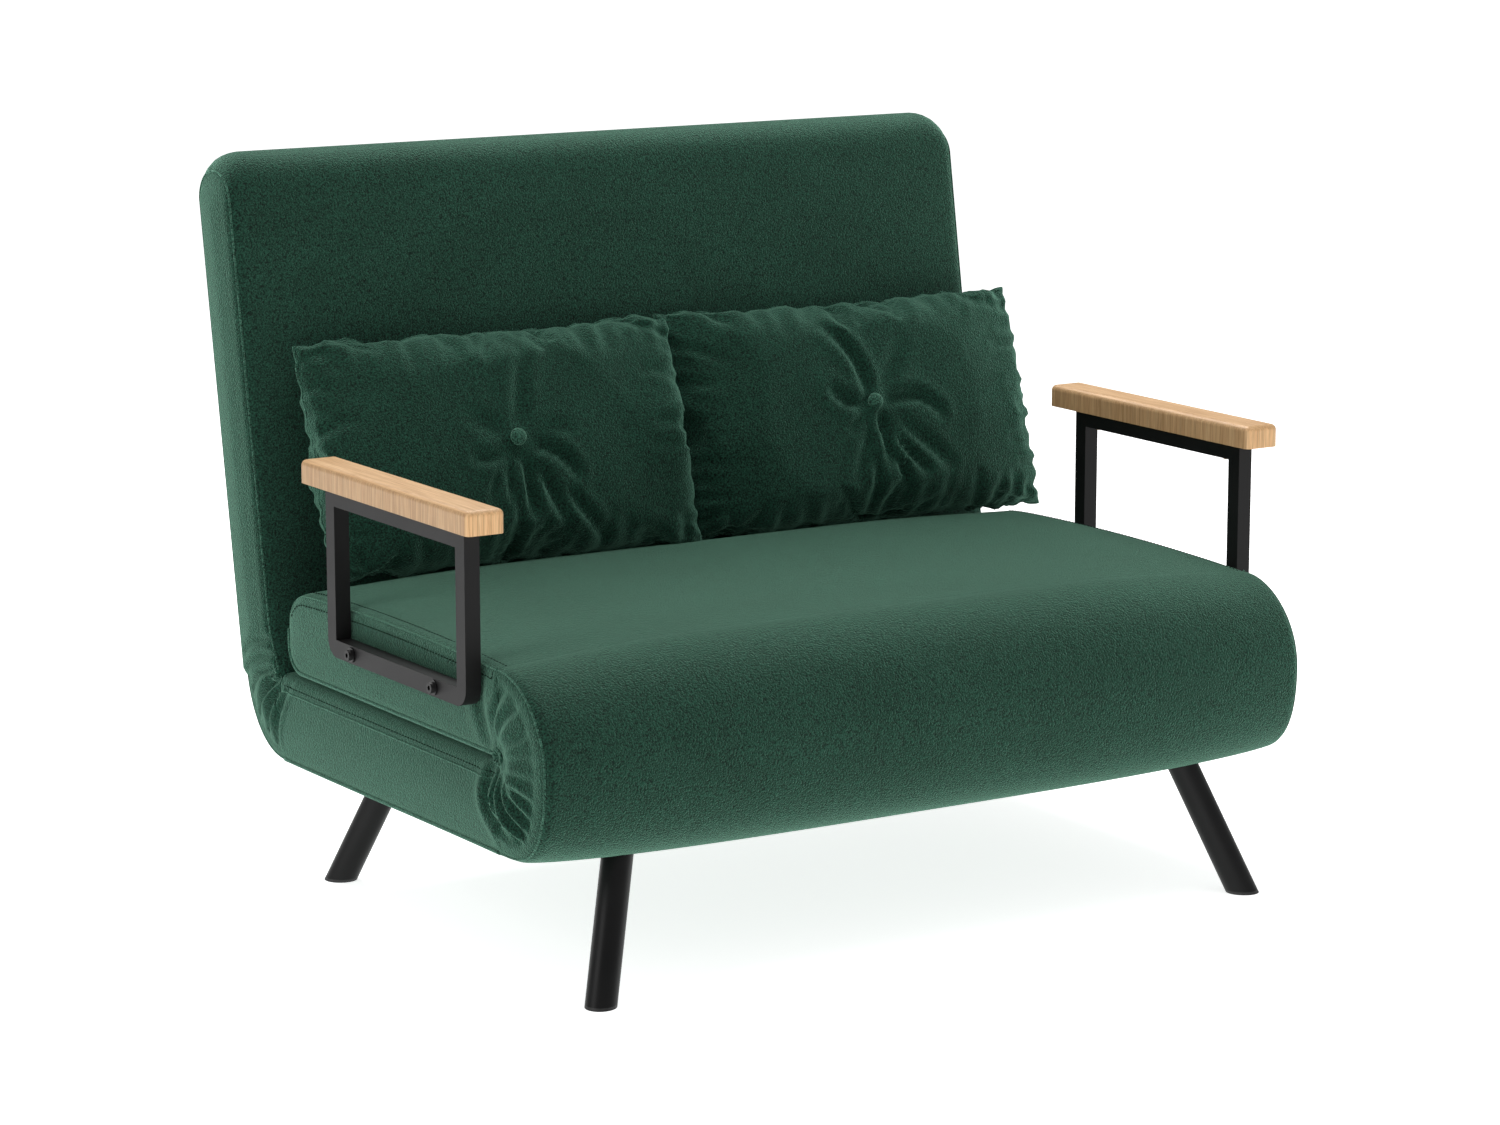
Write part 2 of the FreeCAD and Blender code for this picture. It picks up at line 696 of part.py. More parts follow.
seat_core = slab(COVER, BASE_FRONT, SEAT_REAR, SEAT_BOTTOM, SEAT_TOP)
seat_metal = [seat_frame, seat_webbing] + spacer_passages + nut_passages + frame_bolt_holes
seat_filling = cut(cut(seat_core, seat_metal), seat_front_bays)
seat_foam_lower, seat_foam_upper = halves(seat_filling, SEAT_FRAME_Z)
seat_skin = slab(0, BASE_FRONT, SEAT_REAR, SEAT_BOTTOM, SEAT_TOP).cut(seat_core)
seat_cover = cut(seat_skin, seat_front_bays + spacer_passages)


def back_block(inset):
    """The back section standing upright: a slab with a half-round top edge."""
    half = HALF_WIDTH - inset
    front, rear = inset, BACK_THICKNESS - inset
    middle = BACK_THICKNESS / 2
    top = BACK_SEAM + BACK_TOP_RISE - inset
    low = BACK_START + inset
    corners = [
        Vector(-half, front, BACK_SEAM),
        Vector(-half, front, low),
        Vector(-half, rear, low),
        Vector(-half, rear, BACK_SEAM),
    ]
    crown = Part.Arc(corners[3], Vector(-half, middle, top), corners[0])
    edges = Part.makePolygon(corners).Edges + [crown.toShape()]
    return Part.Face(Part.Wire(edges)).extrude(Vector(2 * half, 0, 0))


back_core = back_block(COVER)
back_filling = cut(
    back_core, [back_frame_upright, back_webbing_upright] + back_bays_upright
)
back_front_half, back_rear_half = halves(back_filling, BACK_THICKNESS / 2, horizontal=False)
back_skin = cut(back_block(0).cut(back_core), back_bays_upright)


# ---- soft corners -------------------------------------------------------------------
def quarter_wrap(low, high, rises):
    """A quarter-round roll in front of the hinge line, upper when it rises, else lower."""
    half = HALF_WIDTH - COVER
    y = BASE_FRONT - SOFT_GAP
    reach = FRONT_AXIS_Y - WRAP_DEPTH
    flat, tip = (low, high) if rises else (high, low)
    middle_y = y + (reach - y) * math.sin(math.radians(45))
    middle_z = flat + (tip - flat) * math.sin(math.radians(45))
    corner = Vector(-half, y, flat)
    nose = Vector(-half, reach, flat)
    crest = Vector(-half, y, tip)
    arc = Part.Arc(nose, Vector(-half, middle_y, middle_z), crest).toShape()
    edges = [Part.makeLine(corner, nose), arc, Part.makeLine(crest, corner)]
    return Part.Face(Part.Wire(edges)).extrude(Vector(2 * half, 0, 0))


hinge_room = [
    side_box(
        s,
        *BAY_X,
        FRONT_AXIS_Y - EYE_RADIUS - BAY_MARGIN,
        FRONT_AXIS_Y + 1,
        FRONT_AXIS_Z - EYE_RADIUS - BAY_MARGIN,
        FRONT_AXIS_Z + EYE_RADIUS + BAY_MARGIN,
    )
    for s in SIDES
]
fold_level = (BASE_TOP + SEAT_BOTTOM) / 2
front_wrap_upper = cut(quarter_wrap(fold_level + SOFT_GAP / 2, SEAT_TOP, True), hinge_room)
front_wrap_lower = cut(
    quarter_wrap(WRAP_LOWER_BOTTOM, fold_level - SOFT_GAP / 2, False),
    hinge_room + [leg_bolts],
)


def gusset(points, arc_points):
    """A roll behind the base, outlined by straight sides and one arc, across the width."""
    half = HALF_WIDTH - COVER
    sides = Part.makePolygon([Vector(-half, y, z) for y, z in points])
    arc = Part.Arc(*[Vector(-half, y, z) for y, z in arc_points]).toShape()
    return Part.Face(Part.Wire(sides.Edges + [arc])).extrude(Vector(2 * half, 0, 0))


def gusset_rim(angle):
    """A point on the gusset's outer curve, whose radius falls evenly from base to back."""
    share = (angle - GUSSET_START_ANGLE) / (GUSSET_END_ANGLE - GUSSET_START_ANGLE)
    return polar(angle, GUSSET_START_RADIUS + share * (GUSSET_END_RADIUS - GUSSET_START_RADIUS))


def back_point(depth, height):
    """The (y, z) place of a point given in the back's upright axes."""
    turn = math.radians(BACK_LEAN)
    y = REAR_AXIS_Y + depth * math.cos(turn) + height * math.sin(turn)
    return y, REAR_AXIS_Z - depth * math.sin(turn) + height * math.cos(turn)


GUSSET_APEX_RADIUS = 14.0
SPLIT_TURN = 0.4
lower_split = GUSSET_SPLIT_ANGLE - SPLIT_TURN
upper_split = GUSSET_SPLIT_ANGLE + SPLIT_TURN
base_end = BASE_REAR + SOFT_GAP
lower_start = (base_end, gusset_rim(GUSSET_START_ANGLE)[1])
rear_gusset_lower = gusset(
    [
        gusset_rim(lower_split),
        polar(lower_split, GUSSET_APEX_RADIUS),
        (base_end, REAR_AXIS_Z - GUSSET_APEX_RADIUS),
        lower_start,
    ],
    [lower_start, gusset_rim((GUSSET_START_ANGLE + lower_split) / 2), gusset_rim(lower_split)],
)
back_end = BACK_START - SOFT_GAP
upper_end = back_point(BACK_THICKNESS, back_end)
rear_gusset_upper = gusset(
    [
        upper_end,
        back_point(0, back_end),
        polar(upper_split, GUSSET_APEX_RADIUS),
        gusset_rim(upper_split),
    ],
    [gusset_rim(upper_split), gusset_rim((upper_split + GUSSET_END_ANGLE) / 2), upper_end],
)
gusset_room = [
    side_box(
        s,
        *BAY_X,
        BASE_REAR - 1,
        REAR_AXIS_Y + TUBE + BACK_THICKNESS / 2,
        base_low - BAY_MARGIN,
        REAR_AXIS_Z + TUBE,
    )
    for s in SIDES
]
rear_gusset_lower = cut(rear_gusset_lower, gusset_room)
rear_gusset_upper = cut(rear_gusset_upper, gusset_room)


# ---- pillows ------------------------------------------------------------------------
def pillow_shape(x0, x1):
    """A stuffed pillow as a plain solid: full size at its edge seam and flatter in front and behind."""
    middle = (x0 + x1) / 2
    sections = []
    for depth, scale in (
        (-PILLOW_HALF_THICKNESS, PILLOW_FACE),
        (-PILLOW_EDGE, 1),
        (PILLOW_EDGE, 1),
        (PILLOW_HALF_THICKNESS, PILLOW_FACE),
    ):
        half_x = (x1 - x0) / 2 * (1 if scale == 1 else 0.5 + scale / 4)
        half_z = PILLOW_HEIGHT / 2 * scale
        corners = [(-half_x, -half_z), (half_x, -half_z), (half_x, half_z), (-half_x, half_z)]
        sections.append(
            Part.makePolygon([Vector(middle + x, depth, z) for x, z in corners + corners[:1]])
        )
    return Part.makeLoft(sections, True, True)


def place_pillow(shape):
    """Tips a pillow's shape and sets it against the back."""
    moved = shape.copy()
    moved.rotate(Vector(0, 0, 0), Vector(1, 0, 0), -PILLOW_TILT)
    moved.translate(Vector(0, -PILLOW_OUT, PILLOW_UP))
    return lean(moved)


def button(x0, x1):
    """A covered button, sewn on in the middle of the pillow's front."""
    start = Vector((x0 + x1) / 2, -PILLOW_HALF_THICKNESS, 0)
    disc = rod(BUTTON_RADIUS, start, start - Vector(0, BUTTON_THICKNESS, 0))
    rim = [e for e in disc.Edges if e.BoundBox.YMax < -PILLOW_HALF_THICKNESS - 1]
    return disc.makeFillet(BUTTON_THICKNESS / 2, rim)


# ---- the finished nodes -------------------------------------------------------------
nodes = {
    "base_cover": base_cover,
    "base_foam_upper": base_foam_upper,
    "base_foam_lower": base_foam_lower,
    "base_frame": base_frame,
    "base_webbing": base_webbing,
    "leg_brackets": leg_brackets,
    "leg_top_plugs": leg_plugs,
    "leg_bolts": leg_bolts,
    "foot_glides": foot_glides,
    "front_hinge_base_plates": front_base_plates,
    "front_hinge_pins": front_pins,
    "rear_hinge_base_plates": rear_base_plates,
    "rear_hinge_pins": rear_pins,
    "rear_hinge_pawls": rear_pawls,
    "rear_hinge_pawl_pins": rear_pawl_pins,
    "front_wrap_lower": front_wrap_lower,
    "rear_gusset_lower": rear_gusset_lower,
    "seat_cover": seat_cover,
    "seat_foam_upper": seat_foam_upper,
    "seat_foam_lower": seat_foam_lower,
    "seat_frame": seat_frame,
    "seat_webbing": seat_webbing,
    "front_hinge_seat_plates": front_seat_plates,
    "front_wrap_upper": front_wrap_upper,
    "arm_frame_left": arm_loop(-1),
    "arm_frame_right": arm_loop(1),
    "arm_pad_left": arm_pad(-1),
    "arm_pad_right": arm_pad(1),
    "arm_bolts": arm_bolts,
    "arm_spacers": arm_spacers,
    "arm_weld_nuts": arm_weld_nuts,
    "arm_pad_screws": arm_pad_screws,
    "back_cover": lean(back_skin),
    "back_foam_front": lean(back_front_half),
    "back_foam_rear": lean(back_rear_half),
    "back_frame": lean(back_frame_upright),
    "back_webbing": lean(back_webbing_upright),
    "rear_hinge_back_plates": rear_back_plates,
    "rear_gusset_upper": rear_gusset_upper,
    "pillow_left": place_pillow(pillow_shape(*LEFT_PILLOW)),
    "pillow_left_button": place_pillow(button(*LEFT_PILLOW)),
    "pillow_right": place_pillow(pillow_shape(*RIGHT_PILLOW)),
    "pillow_right_button": place_pillow(button(*RIGHT_PILLOW)),
}
for name, (side, foot_y) in LEG_PLACES.items():
    nodes["leg_" + name] = leg_tube(side, foot_y)

os.makedirs("parts", exist_ok=True)
for name, shape in nodes.items():
    shape.exportStep(f"parts/{name}.step")
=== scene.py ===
"""Looks of the futon sofa bed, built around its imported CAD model. Metres, +Z up, -Y is the front."""
import json
import math

import bmesh
import bpy
import numpy as np
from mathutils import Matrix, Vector
from mathutils.bvhtree import BVHTree


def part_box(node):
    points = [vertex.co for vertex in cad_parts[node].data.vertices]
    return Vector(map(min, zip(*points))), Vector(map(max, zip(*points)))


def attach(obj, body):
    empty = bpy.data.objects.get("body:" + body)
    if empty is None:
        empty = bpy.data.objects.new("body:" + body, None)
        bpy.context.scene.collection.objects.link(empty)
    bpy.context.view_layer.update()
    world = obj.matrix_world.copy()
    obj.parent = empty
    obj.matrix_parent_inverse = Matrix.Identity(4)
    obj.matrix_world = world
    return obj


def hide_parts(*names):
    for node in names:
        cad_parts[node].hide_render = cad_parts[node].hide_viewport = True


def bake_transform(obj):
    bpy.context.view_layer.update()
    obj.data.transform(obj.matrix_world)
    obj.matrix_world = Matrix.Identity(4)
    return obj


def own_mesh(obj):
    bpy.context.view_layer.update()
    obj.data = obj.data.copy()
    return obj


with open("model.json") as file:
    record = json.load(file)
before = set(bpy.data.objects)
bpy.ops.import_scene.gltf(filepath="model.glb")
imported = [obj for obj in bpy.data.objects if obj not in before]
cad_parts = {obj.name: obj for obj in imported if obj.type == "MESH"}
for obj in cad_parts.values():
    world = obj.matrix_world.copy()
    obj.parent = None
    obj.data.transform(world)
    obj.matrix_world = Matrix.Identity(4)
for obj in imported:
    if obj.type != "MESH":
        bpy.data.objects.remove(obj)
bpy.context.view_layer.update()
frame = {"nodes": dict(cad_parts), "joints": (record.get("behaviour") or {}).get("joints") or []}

# ---------------------------------------------------------------- the frame's own sizes
NODES = frame["nodes"]
JOINTS = {joint["name"]: joint for joint in frame["joints"]}
SIDES = {"left": -1, "right": 1}

SEAT_LO, SEAT_HI = (np.array(corner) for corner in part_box("seat_cover"))
BASE_LO, BASE_HI = (np.array(corner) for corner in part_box("base_cover"))
WRAP_LO = np.array(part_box("front_wrap_lower")[0])
HALF_WIDTH = SEAT_HI[0]
FRONT_AXIS = np.array(JOINTS["seat_unfold"]["pos_m"])
REAR_AXIS = np.array(JOINTS["back_recline"]["pos_m"])
UP_BACK = np.array(JOINTS["pillow_left_lift"]["axis"])
OUT_BACK = np.array([0, UP_BACK[2], -UP_BACK[1]])


def back_coordinates(points):
    """Distance up the back from the rear hinge line, and distance to the rear of it."""
    away = np.asarray(points, float) - REAR_AXIS
    return away @ UP_BACK, away @ OUT_BACK


BACK_UV = back_coordinates([v.co for v in NODES["back_cover"].data.vertices])
BACK_TOP = float(BACK_UV[0].max())
BACK_THICK = float(BACK_UV[1].max())

# ---------------------------------------------------------------- upholstery sizes
GRID = 0.0085           # spacing of the mesh on the big cushions
SIDE_GRID = 0.0055      # and up or across their side panels
FINE_STRETCH = 0.06     # length near a fold where it is finer
EDGE_ROUND = 0.013      # rounding where a cushion's faces meet its side panels
EDGE_FADE = 0.012       # side panels start to swell this far inside their outline
PIPING_RADIUS = 0.0030
STITCH_LENGTH = 0.0046
STITCH_PITCH = 0.0076
STITCH_RADIUS = 0.0009
STITCH_SIDES = 6
TRACE_PITCH = 0.006     # spacing of the points of a seam
BORDER_Y = SEAT_LO[1] + 0.008   # where the front wrap meets the seat top and the base bottom
FRONT_END = FRONT_AXIS[1] + 0.001   # the seat and the base run on into the wrap as far as this
REAR_END = BASE_HI[1] + 0.006       # and the base into the rear gusset as far as this
TUCK = 0.0026           # how much slimmer they are inside a wrap
SEAT_CROWN = 0.007
BASE_SAG = 0.017
BACK_CROWN = 0.012


# ---------------------------------------------------------------- small maths
CREASE_STEPS = 24       # a fold's route is traced in this many steps


def smooth(t):
    t = np.clip(t, 0, 1)
    return t * t * (3 - 2 * t)


def full_width(x):
    """1 along the middle, falling to 0 at the side seams, as a stuffed cover does."""
    t = np.clip(np.abs(x) / HALF_WIDTH, 0, 1)
    return (1 - t ** 3.3) ** 0.6


def lumps(points, size, seed):
    """Gentle unevenness of stuffing, about -1 to 1, from a few seeded waves."""
    draw = np.random.default_rng(seed)
    total = np.zeros(len(points))
    for _ in range(7):
        direction = draw.normal(size=3)
        direction /= np.linalg.norm(direction)
        wavelength = size * draw.uniform(0.7, 1.5)
        total += np.sin(points @ direction * 2 * math.pi / wavelength + draw.uniform(0, 6.28))
    return total / 7


# ---------------------------------------------------------------- mesh building
def mesh_piece(name, points, faces, material, sharp_above=50):
    mesh = bpy.data.meshes.new(name)
    mesh.from_pydata([tuple(p) for p in points], [], [tuple(f) for f in faces])
    mesh.validate()
    turned = bmesh.new()
    turned.from_mesh(mesh)
    bmesh.ops.recalc_face_normals(turned, faces=turned.faces)
    turned.to_mesh(mesh)
    turned.free()
    mesh.polygons.foreach_set("use_smooth", [True] * len(mesh.polygons))
    mesh.set_sharp_from_angle(angle=math.radians(sharp_above))
    mesh.materials.append(material)
    piece = bpy.data.objects.new(name, mesh)
    bpy.context.scene.collection.objects.link(piece)
    return piece


def points_of(piece):
    co = np.zeros(len(piece.data.vertices) * 3)
    piece.data.vertices.foreach_get("co", co)
    return co.reshape(-1, 3)


def set_points(piece, points):
    piece.data.vertices.foreach_set("co", np.asarray(points, float).ravel())
    piece.data.update()


def grid_lines(length, step, fine_start=0.0, fine_end=0.0, fine_step=0.004):
    """Places of grid lines along a length, closer together in a stretch at either end."""
    parts = [np.linspace(0, fine_start, max(2, int(fine_start / fine_step) + 1))] if fine_start else []
    middle = length - fine_start - fine_end
    parts.append(np.linspace(fine_start, fine_start + middle, max(2, int(middle / step) + 1)))
    if fine_end:
        parts.append(np.linspace(length - fine_end, length, max(2, int(fine_end / fine_step) + 1)))
    return np.unique(np.round(np.concatenate(parts), 7))


def box_grid(lines):
    """Surface of a box cut at the given grid lines: points, and outward quads."""
    counts = np.array([len(line) - 1 for line in lines])
    index = {}
    points = []
    faces = []

    def corner(key):
        if key not in index:
            index[key] = len(points)
            points.append([lines[k][key[k]] for k in range(3)])
        return index[key]

    for axis in range(3):
        first, second = (axis + 1) % 3, (axis + 2) % 3
        for end in (0, counts[axis]):
            for i in range(counts[first]):
                for j in range(counts[second]):
                    ring = []
                    for di, dj in ((0, 0), (1, 0), (1, 1), (0, 1)):
                        key = [0, 0, 0]
                        key[axis], key[first], key[second] = int(end), i + di, j + dj
                        ring.append(corner(tuple(key)))
                    faces.append(ring if end else ring[::-1])
    return np.array(points), faces


def round_profile(a, b, size_a, size_b, radii, open_sides=()):
    """Moves points of the rectangle 0..size_a by 0..size_b so that its corners are round.
    radii: at (0, 0), (size_a, 0), (size_a, size_b), (0, size_b).
    open_sides: numbers of the sides a low, a high, b low, b high that run on into another cover.
    Returns the points, their depth below the outline, and the outward direction there."""
    a, b = a.copy(), b.copy()
    gaps = np.stack([a, size_a - a, b, size_b - b])
    gaps[list(open_sides)] += 1.0
    depth = gaps.min(axis=0)
    side = gaps.argmin(axis=0)
    out_a = np.choose(side, [-1.0, 1.0, 0.0, 0.0])
    out_b = np.choose(side, [0.0, 0.0, -1.0, 1.0])
    corners = [(0, 0, 1, 1), (size_a, 0, -1, 1), (size_a, size_b, -1, -1), (0, size_b, 1, -1)]
    for radius, (ca, cb, inward_a, inward_b) in zip(radii, corners):
        if radius <= 0:
            continue
        centre_a, centre_b = ca + inward_a * radius, cb + inward_b * radius
        da, db = (a - centre_a) * -inward_a, (b - centre_b) * -inward_b
        zone = (da > 0) & (db > 0)
        length = np.hypot(da, db)
        longest = np.maximum(da, db)
        scale = np.where(zone, longest / np.maximum(length, 1e-9), 1)
        a = np.where(zone, centre_a - inward_a * da * scale, a)
        b = np.where(zone, centre_b - inward_b * db * scale, b)
        depth = np.where(zone, radius - longest, depth)
        out_a = np.where(zone, -inward_a * da / np.maximum(length, 1e-9), out_a)
        out_b = np.where(zone, -inward_b * db / np.maximum(length, 1e-9), out_b)
    return a, b, depth, out_a, out_b


def cushion_points(grid, width, size_a, size_b, radii, open_sides):
    """A box cushion: x across, a and b in its side panel's plane. Rounds the outline's corners,
    then the edges all round the side panels."""
    x = grid[:, 0] - width
    a, b, depth, out_a, out_b = round_profile(grid[:, 1], grid[:, 2], size_a, size_b, radii, open_sides)
    gap = width - np.abs(x)
    edge = EDGE_ROUND
    inset_a = np.clip(edge - depth, 0, edge)
    inset_x = np.clip(edge - gap, 0, edge)
    scale = np.maximum(inset_a, inset_x) / np.maximum(np.hypot(inset_a, inset_x), 1e-9)
    zone = (inset_a > 0) & (inset_x > 0)
    new_depth = np.where(zone, edge - inset_a * scale, depth)
    new_gap = np.where(zone, edge - inset_x * scale, gap)
    a = a - out_a * (new_depth - depth)
    b = b - out_b * (new_depth - depth)
    x = np.sign(x) * (width - new_gap)
    return x, a, b, new_depth, out_a, out_b


def crease(points, route, depth, width):
    """Depth of a fold at each flat point: deepest along the route, with a raised lip beside it."""
    first, middle, last = np.array(route, float)
    pulled = 2 * middle - (first + last) / 2
    t = np.linspace(0, 1, CREASE_STEPS + 1)[:, None]
    line = (1 - t) ** 2 * first + 2 * t * (1 - t) * pulled + t * t * last
    away = np.linalg.norm(points[:, None, :] - line[None, :, :], axis=2)
    nearest = away.argmin(axis=1)
    gap = away[np.arange(len(points)), nearest]
    along = nearest / CREASE_STEPS
    taper = np.sin(math.pi * np.clip(0.08 + 0.84 * along, 0, 1)) ** 0.6
    valley = np.exp(-(gap / width) ** 2)
    lip = 0.45 * np.exp(-((gap - 1.9 * width) / (0.9 * width)) ** 2)
    return depth * taper * (valley - lip)


def ring(centre, first, second, radius, sides):
    """Points round a centre, from the first direction towards the second."""
    angles = 2 * math.pi * np.arange(sides) / sides
    return centre + radius * (np.outer(np.cos(angles), first) + np.outer(np.sin(angles), second))


def ring_faces(rings, sides, start=0, closed=False):
    """Quads from each ring of points to the next. The first ring's first point is number start."""
    faces = []
    for number in range(rings if closed else rings - 1):
        here, there = start + number * sides, start + (number + 1) % rings * sides
        for k in range(sides):
            m = (k + 1) % sides
            faces.append((here + k, here + m, there + m, there + k))
    return faces


def end_caps(rings, sides, start=0):
    """Flat faces over the first and the last ring."""
    last = start + (rings - 1) * sides
    return [tuple(range(start, start + sides))[::-1], tuple(range(last, last + sides))]


def spun(name, tips, rings, material):
    """A closed round piece: a point, rings of points, and a point."""
    sides = len(rings[0])
    points = [tips[0], *np.concatenate(rings), tips[1]]
    faces = ring_faces(len(rings), sides, 1)
    last = len(points) - 1
    for k in range(sides):
        m = (k + 1) % sides
        faces += [(0, 1 + m, 1 + k), (last - sides + k, last - sides + m, last)]
    return mesh_piece(name, points, faces, material, 180)


def tube(name, route, radius, material, sides=8, closed=False):
    """A round cord of mesh along the route, closed at its ends."""
    route = np.array(route, float)
    if closed:
        tangents = np.roll(route, -1, axis=0) - np.roll(route, 1, axis=0)
    else:
        tangents = np.gradient(route, axis=0)
    tangents /= np.maximum(np.linalg.norm(tangents, axis=1)[:, None], 1e-12)
    across = np.array([1.0, 0, 0]) if abs(tangents[0][0]) < 0.8 else np.array([0, 0, 1.0])
    points = []
    for place, tangent in zip(route, tangents):
        across = across - tangent * (across @ tangent)
        across /= np.linalg.norm(across)
        points += list(ring(place, across, np.cross(tangent, across), radius, sides))
    faces = ring_faces(len(route), sides, closed=closed)
    if not closed:
        faces += end_caps(len(route), sides)
    return mesh_piece(name, points, faces, material, 180)


def resample(route, pitch):
    route = np.array(route, float)
    steps = np.r_[0, np.cumsum(np.linalg.norm(np.diff(route, axis=0), axis=1))]
    count = max(3, int(round(steps[-1] / pitch)) + 1)
    at = np.linspace(0, steps[-1], count)
    return np.stack([np.interp(at, steps, route[:, k]) for k in range(3)], axis=1)


def snap(surface, route, direction, lift, reach=0.05):
    """Lays a route on a surface by looking along a direction, and lifts it off by lift."""
    direction = Vector(direction).normalized()
    laid = []
    for point in route:
        start = Vector(point) - direction * reach
        hit = surface.ray_cast(start, direction, 2 * reach)[0]
        laid.append(np.array(hit) - np.array(direction) * lift if hit is not None else np.array(point))
    return np.array(laid)


def surface_of(*pieces):
    points, faces = [], []
    for piece in pieces:
        base = len(points)
        points += [v.co.copy() for v in piece.data.vertices]
        faces += [[base + k for k in polygon.vertices] for polygon in piece.data.polygons]
    return BVHTree.FromPolygons(points, faces)


def stitches(name, route, material):
    """A row of short thread dashes along a route that lies on the cloth."""
    dense = resample(route, STITCH_PITCH)
    points, faces = [], []
    shape = ((-0.5, 0.35), (-0.3, 1.0), (0.3, 1.0), (0.5, 0.35))    # along the dash, and its thickness
    for start, end in zip(dense[:-1], dense[1:]):
        run = (end - start) / np.linalg.norm(end - start)
        middle = (start + end) / 2
        side = np.cross(run, (0, 0, 1.0))
        side = side / np.linalg.norm(side) if np.linalg.norm(side) > 0.1 else np.array([1.0, 0, 0])
        first = len(points)
        for along, fat in shape:
            place = middle + run * along * STITCH_LENGTH
            points += list(ring(place, side, np.cross(run, side), STITCH_RADIUS * fat, STITCH_SIDES))
        faces += ring_faces(len(shape), STITCH_SIDES, first) + end_caps(len(shape), STITCH_SIDES, first)
    return mesh_piece(name, points, faces, material, 180)


# ---------------------------------------------------------------- materials
class Graph:
    """A node material, with short ways to add and join its nodes."""

    def __init__(self, name):
        self.material = bpy.data.materials.new(name)
        self.material.use_nodes = True
        self.tree = self.material.node_tree
        self.shader = self.tree.nodes["Principled BSDF"]

    def node(self, kind, **values):
        made = self.tree.nodes.new(kind)
        for key, value in values.items():
            setattr(made, key, value)
        return made

    def join(self, source, target):
        self.tree.links.new(source, target)

    def fixed(self, **values):
        for key, value in values.items():
            self.shader.inputs[key.replace("_", " ")].default_value = value

    def coordinates(self, scale=(1, 1, 1)):
        source = self.node("ShaderNodeTexCoord")
        mapping = self.node("ShaderNodeMapping")
        mapping.inputs["Scale"].default_value = scale
        self.join(source.outputs["Object"], mapping.inputs["Vector"])
        return mapping.outputs["Vector"]

    def noise(self, scale, detail=2.0, roughness=0.5, stretch=(1, 1, 1), distortion=0.0):
        made = self.node("ShaderNodeTexNoise")
        made.inputs["Scale"].default_value = scale
        made.inputs["Detail"].default_value = detail
        made.inputs["Roughness"].default_value = roughness
        made.inputs["Distortion"].default_value = distortion
        self.join(self.coordinates(stretch), made.inputs["Vector"])
        return made.outputs["Fac"]

    def ramp(self, factor, stops):
        made = self.node("ShaderNodeValToRGB")
        for _ in range(len(stops) - 2):
            made.color_ramp.elements.new(0.5)
        for element, (place, colour) in zip(made.color_ramp.elements, stops):
            element.position = place
            element.color = (*colour, 1)
        self.join(factor, made.inputs["Fac"])
        return made.outputs["Color"]

    def mix(self, factor, first, second, blend_type="MIX"):
        made = self.node("ShaderNodeMix", data_type="RGBA", blend_type=blend_type)
        for value, socket in ((factor, "Factor"), (first, "A"), (second, "B")):
            target = [s for s in made.inputs if s.name == socket and s.enabled][0]
            if isinstance(value, (float, int)):
                target.default_value = value
            elif isinstance(value, tuple):
                target.default_value = (*value, 1)
            else:
                self.join(value, target)
        return [s for s in made.outputs if s.enabled][0]

    def spread(self, factor, low, high):
        made = self.node("ShaderNodeMapRange")
        made.inputs["To Min"].default_value = low
        made.inputs["To Max"].default_value = high
        self.join(factor, made.inputs["Value"])
        return made.outputs["Result"]

    def add(self, first, second, share=0.5):
        made = self.node("ShaderNodeMix", data_type="FLOAT")
        made.inputs["Factor"].default_value = share
        self.join(first, made.inputs["A"])
        self.join(second, made.inputs["B"])
        return made.outputs["Result"]

    def colour(self, factor, *stops):
        self.join(self.ramp(factor, stops), self.shader.inputs["Base Color"])

    def roughness(self, factor, low, high):
        self.join(self.spread(factor, low, high), self.shader.inputs["Roughness"])

    def bump(self, height, strength, distance):
        made = self.node("ShaderNodeBump")
        made.inputs["Strength"].default_value = strength
        made.inputs["Distance"].default_value = distance
        self.join(height, made.inputs["Height"])
        self.join(made.outputs["Normal"], self.shader.inputs["Normal"])


def velvet(name, dark, light, sheen_tint):
    """Short-pile velvet: a dark ground, brushed patches, a speckle of pile, bright grazing edges."""
    g = Graph(name)
    brushed = g.noise(5.5, 3, 0.55, (1, 1, 1.6), 0.6)
    streak = g.noise(60, 3, 0.6, (1, 0.35, 0.35))
    pile = g.noise(430, 2, 0.6)
    ground = g.ramp(brushed, [(0.30, dark), (0.72, light)])
    streaked = g.mix(g.spread(streak, 0.0, 0.35), ground, light)
    speckle = g.ramp(pile, [(0.36, (0.10, 0.10, 0.10)), (0.64, (2.3, 2.3, 2.3))])
    g.join(g.mix(1.0, streaked, speckle, "MULTIPLY"), g.shader.inputs["Base Color"])
    g.roughness(streak, 0.78, 0.98)
    g.fixed(Sheen_Weight=1.0, Sheen_Roughness=0.42, Sheen_Tint=(*sheen_tint, 1),
            Specular_IOR_Level=0.15, IOR=1.45)
    g.bump(g.add(pile, streak, 0.12), 1.0, 0.0030)
    return g.material


def thread(name, colour):
    g = Graph(name)
    twist = g.noise(900, 1, 0.5, (1, 3, 3))
    g.colour(twist, (0.3, tuple(c * 0.6 for c in colour)), (0.7, colour))
    g.fixed(Roughness=0.8, Specular_IOR_Level=0.1)
    g.bump(twist, 0.5, 0.0004)
    return g.material


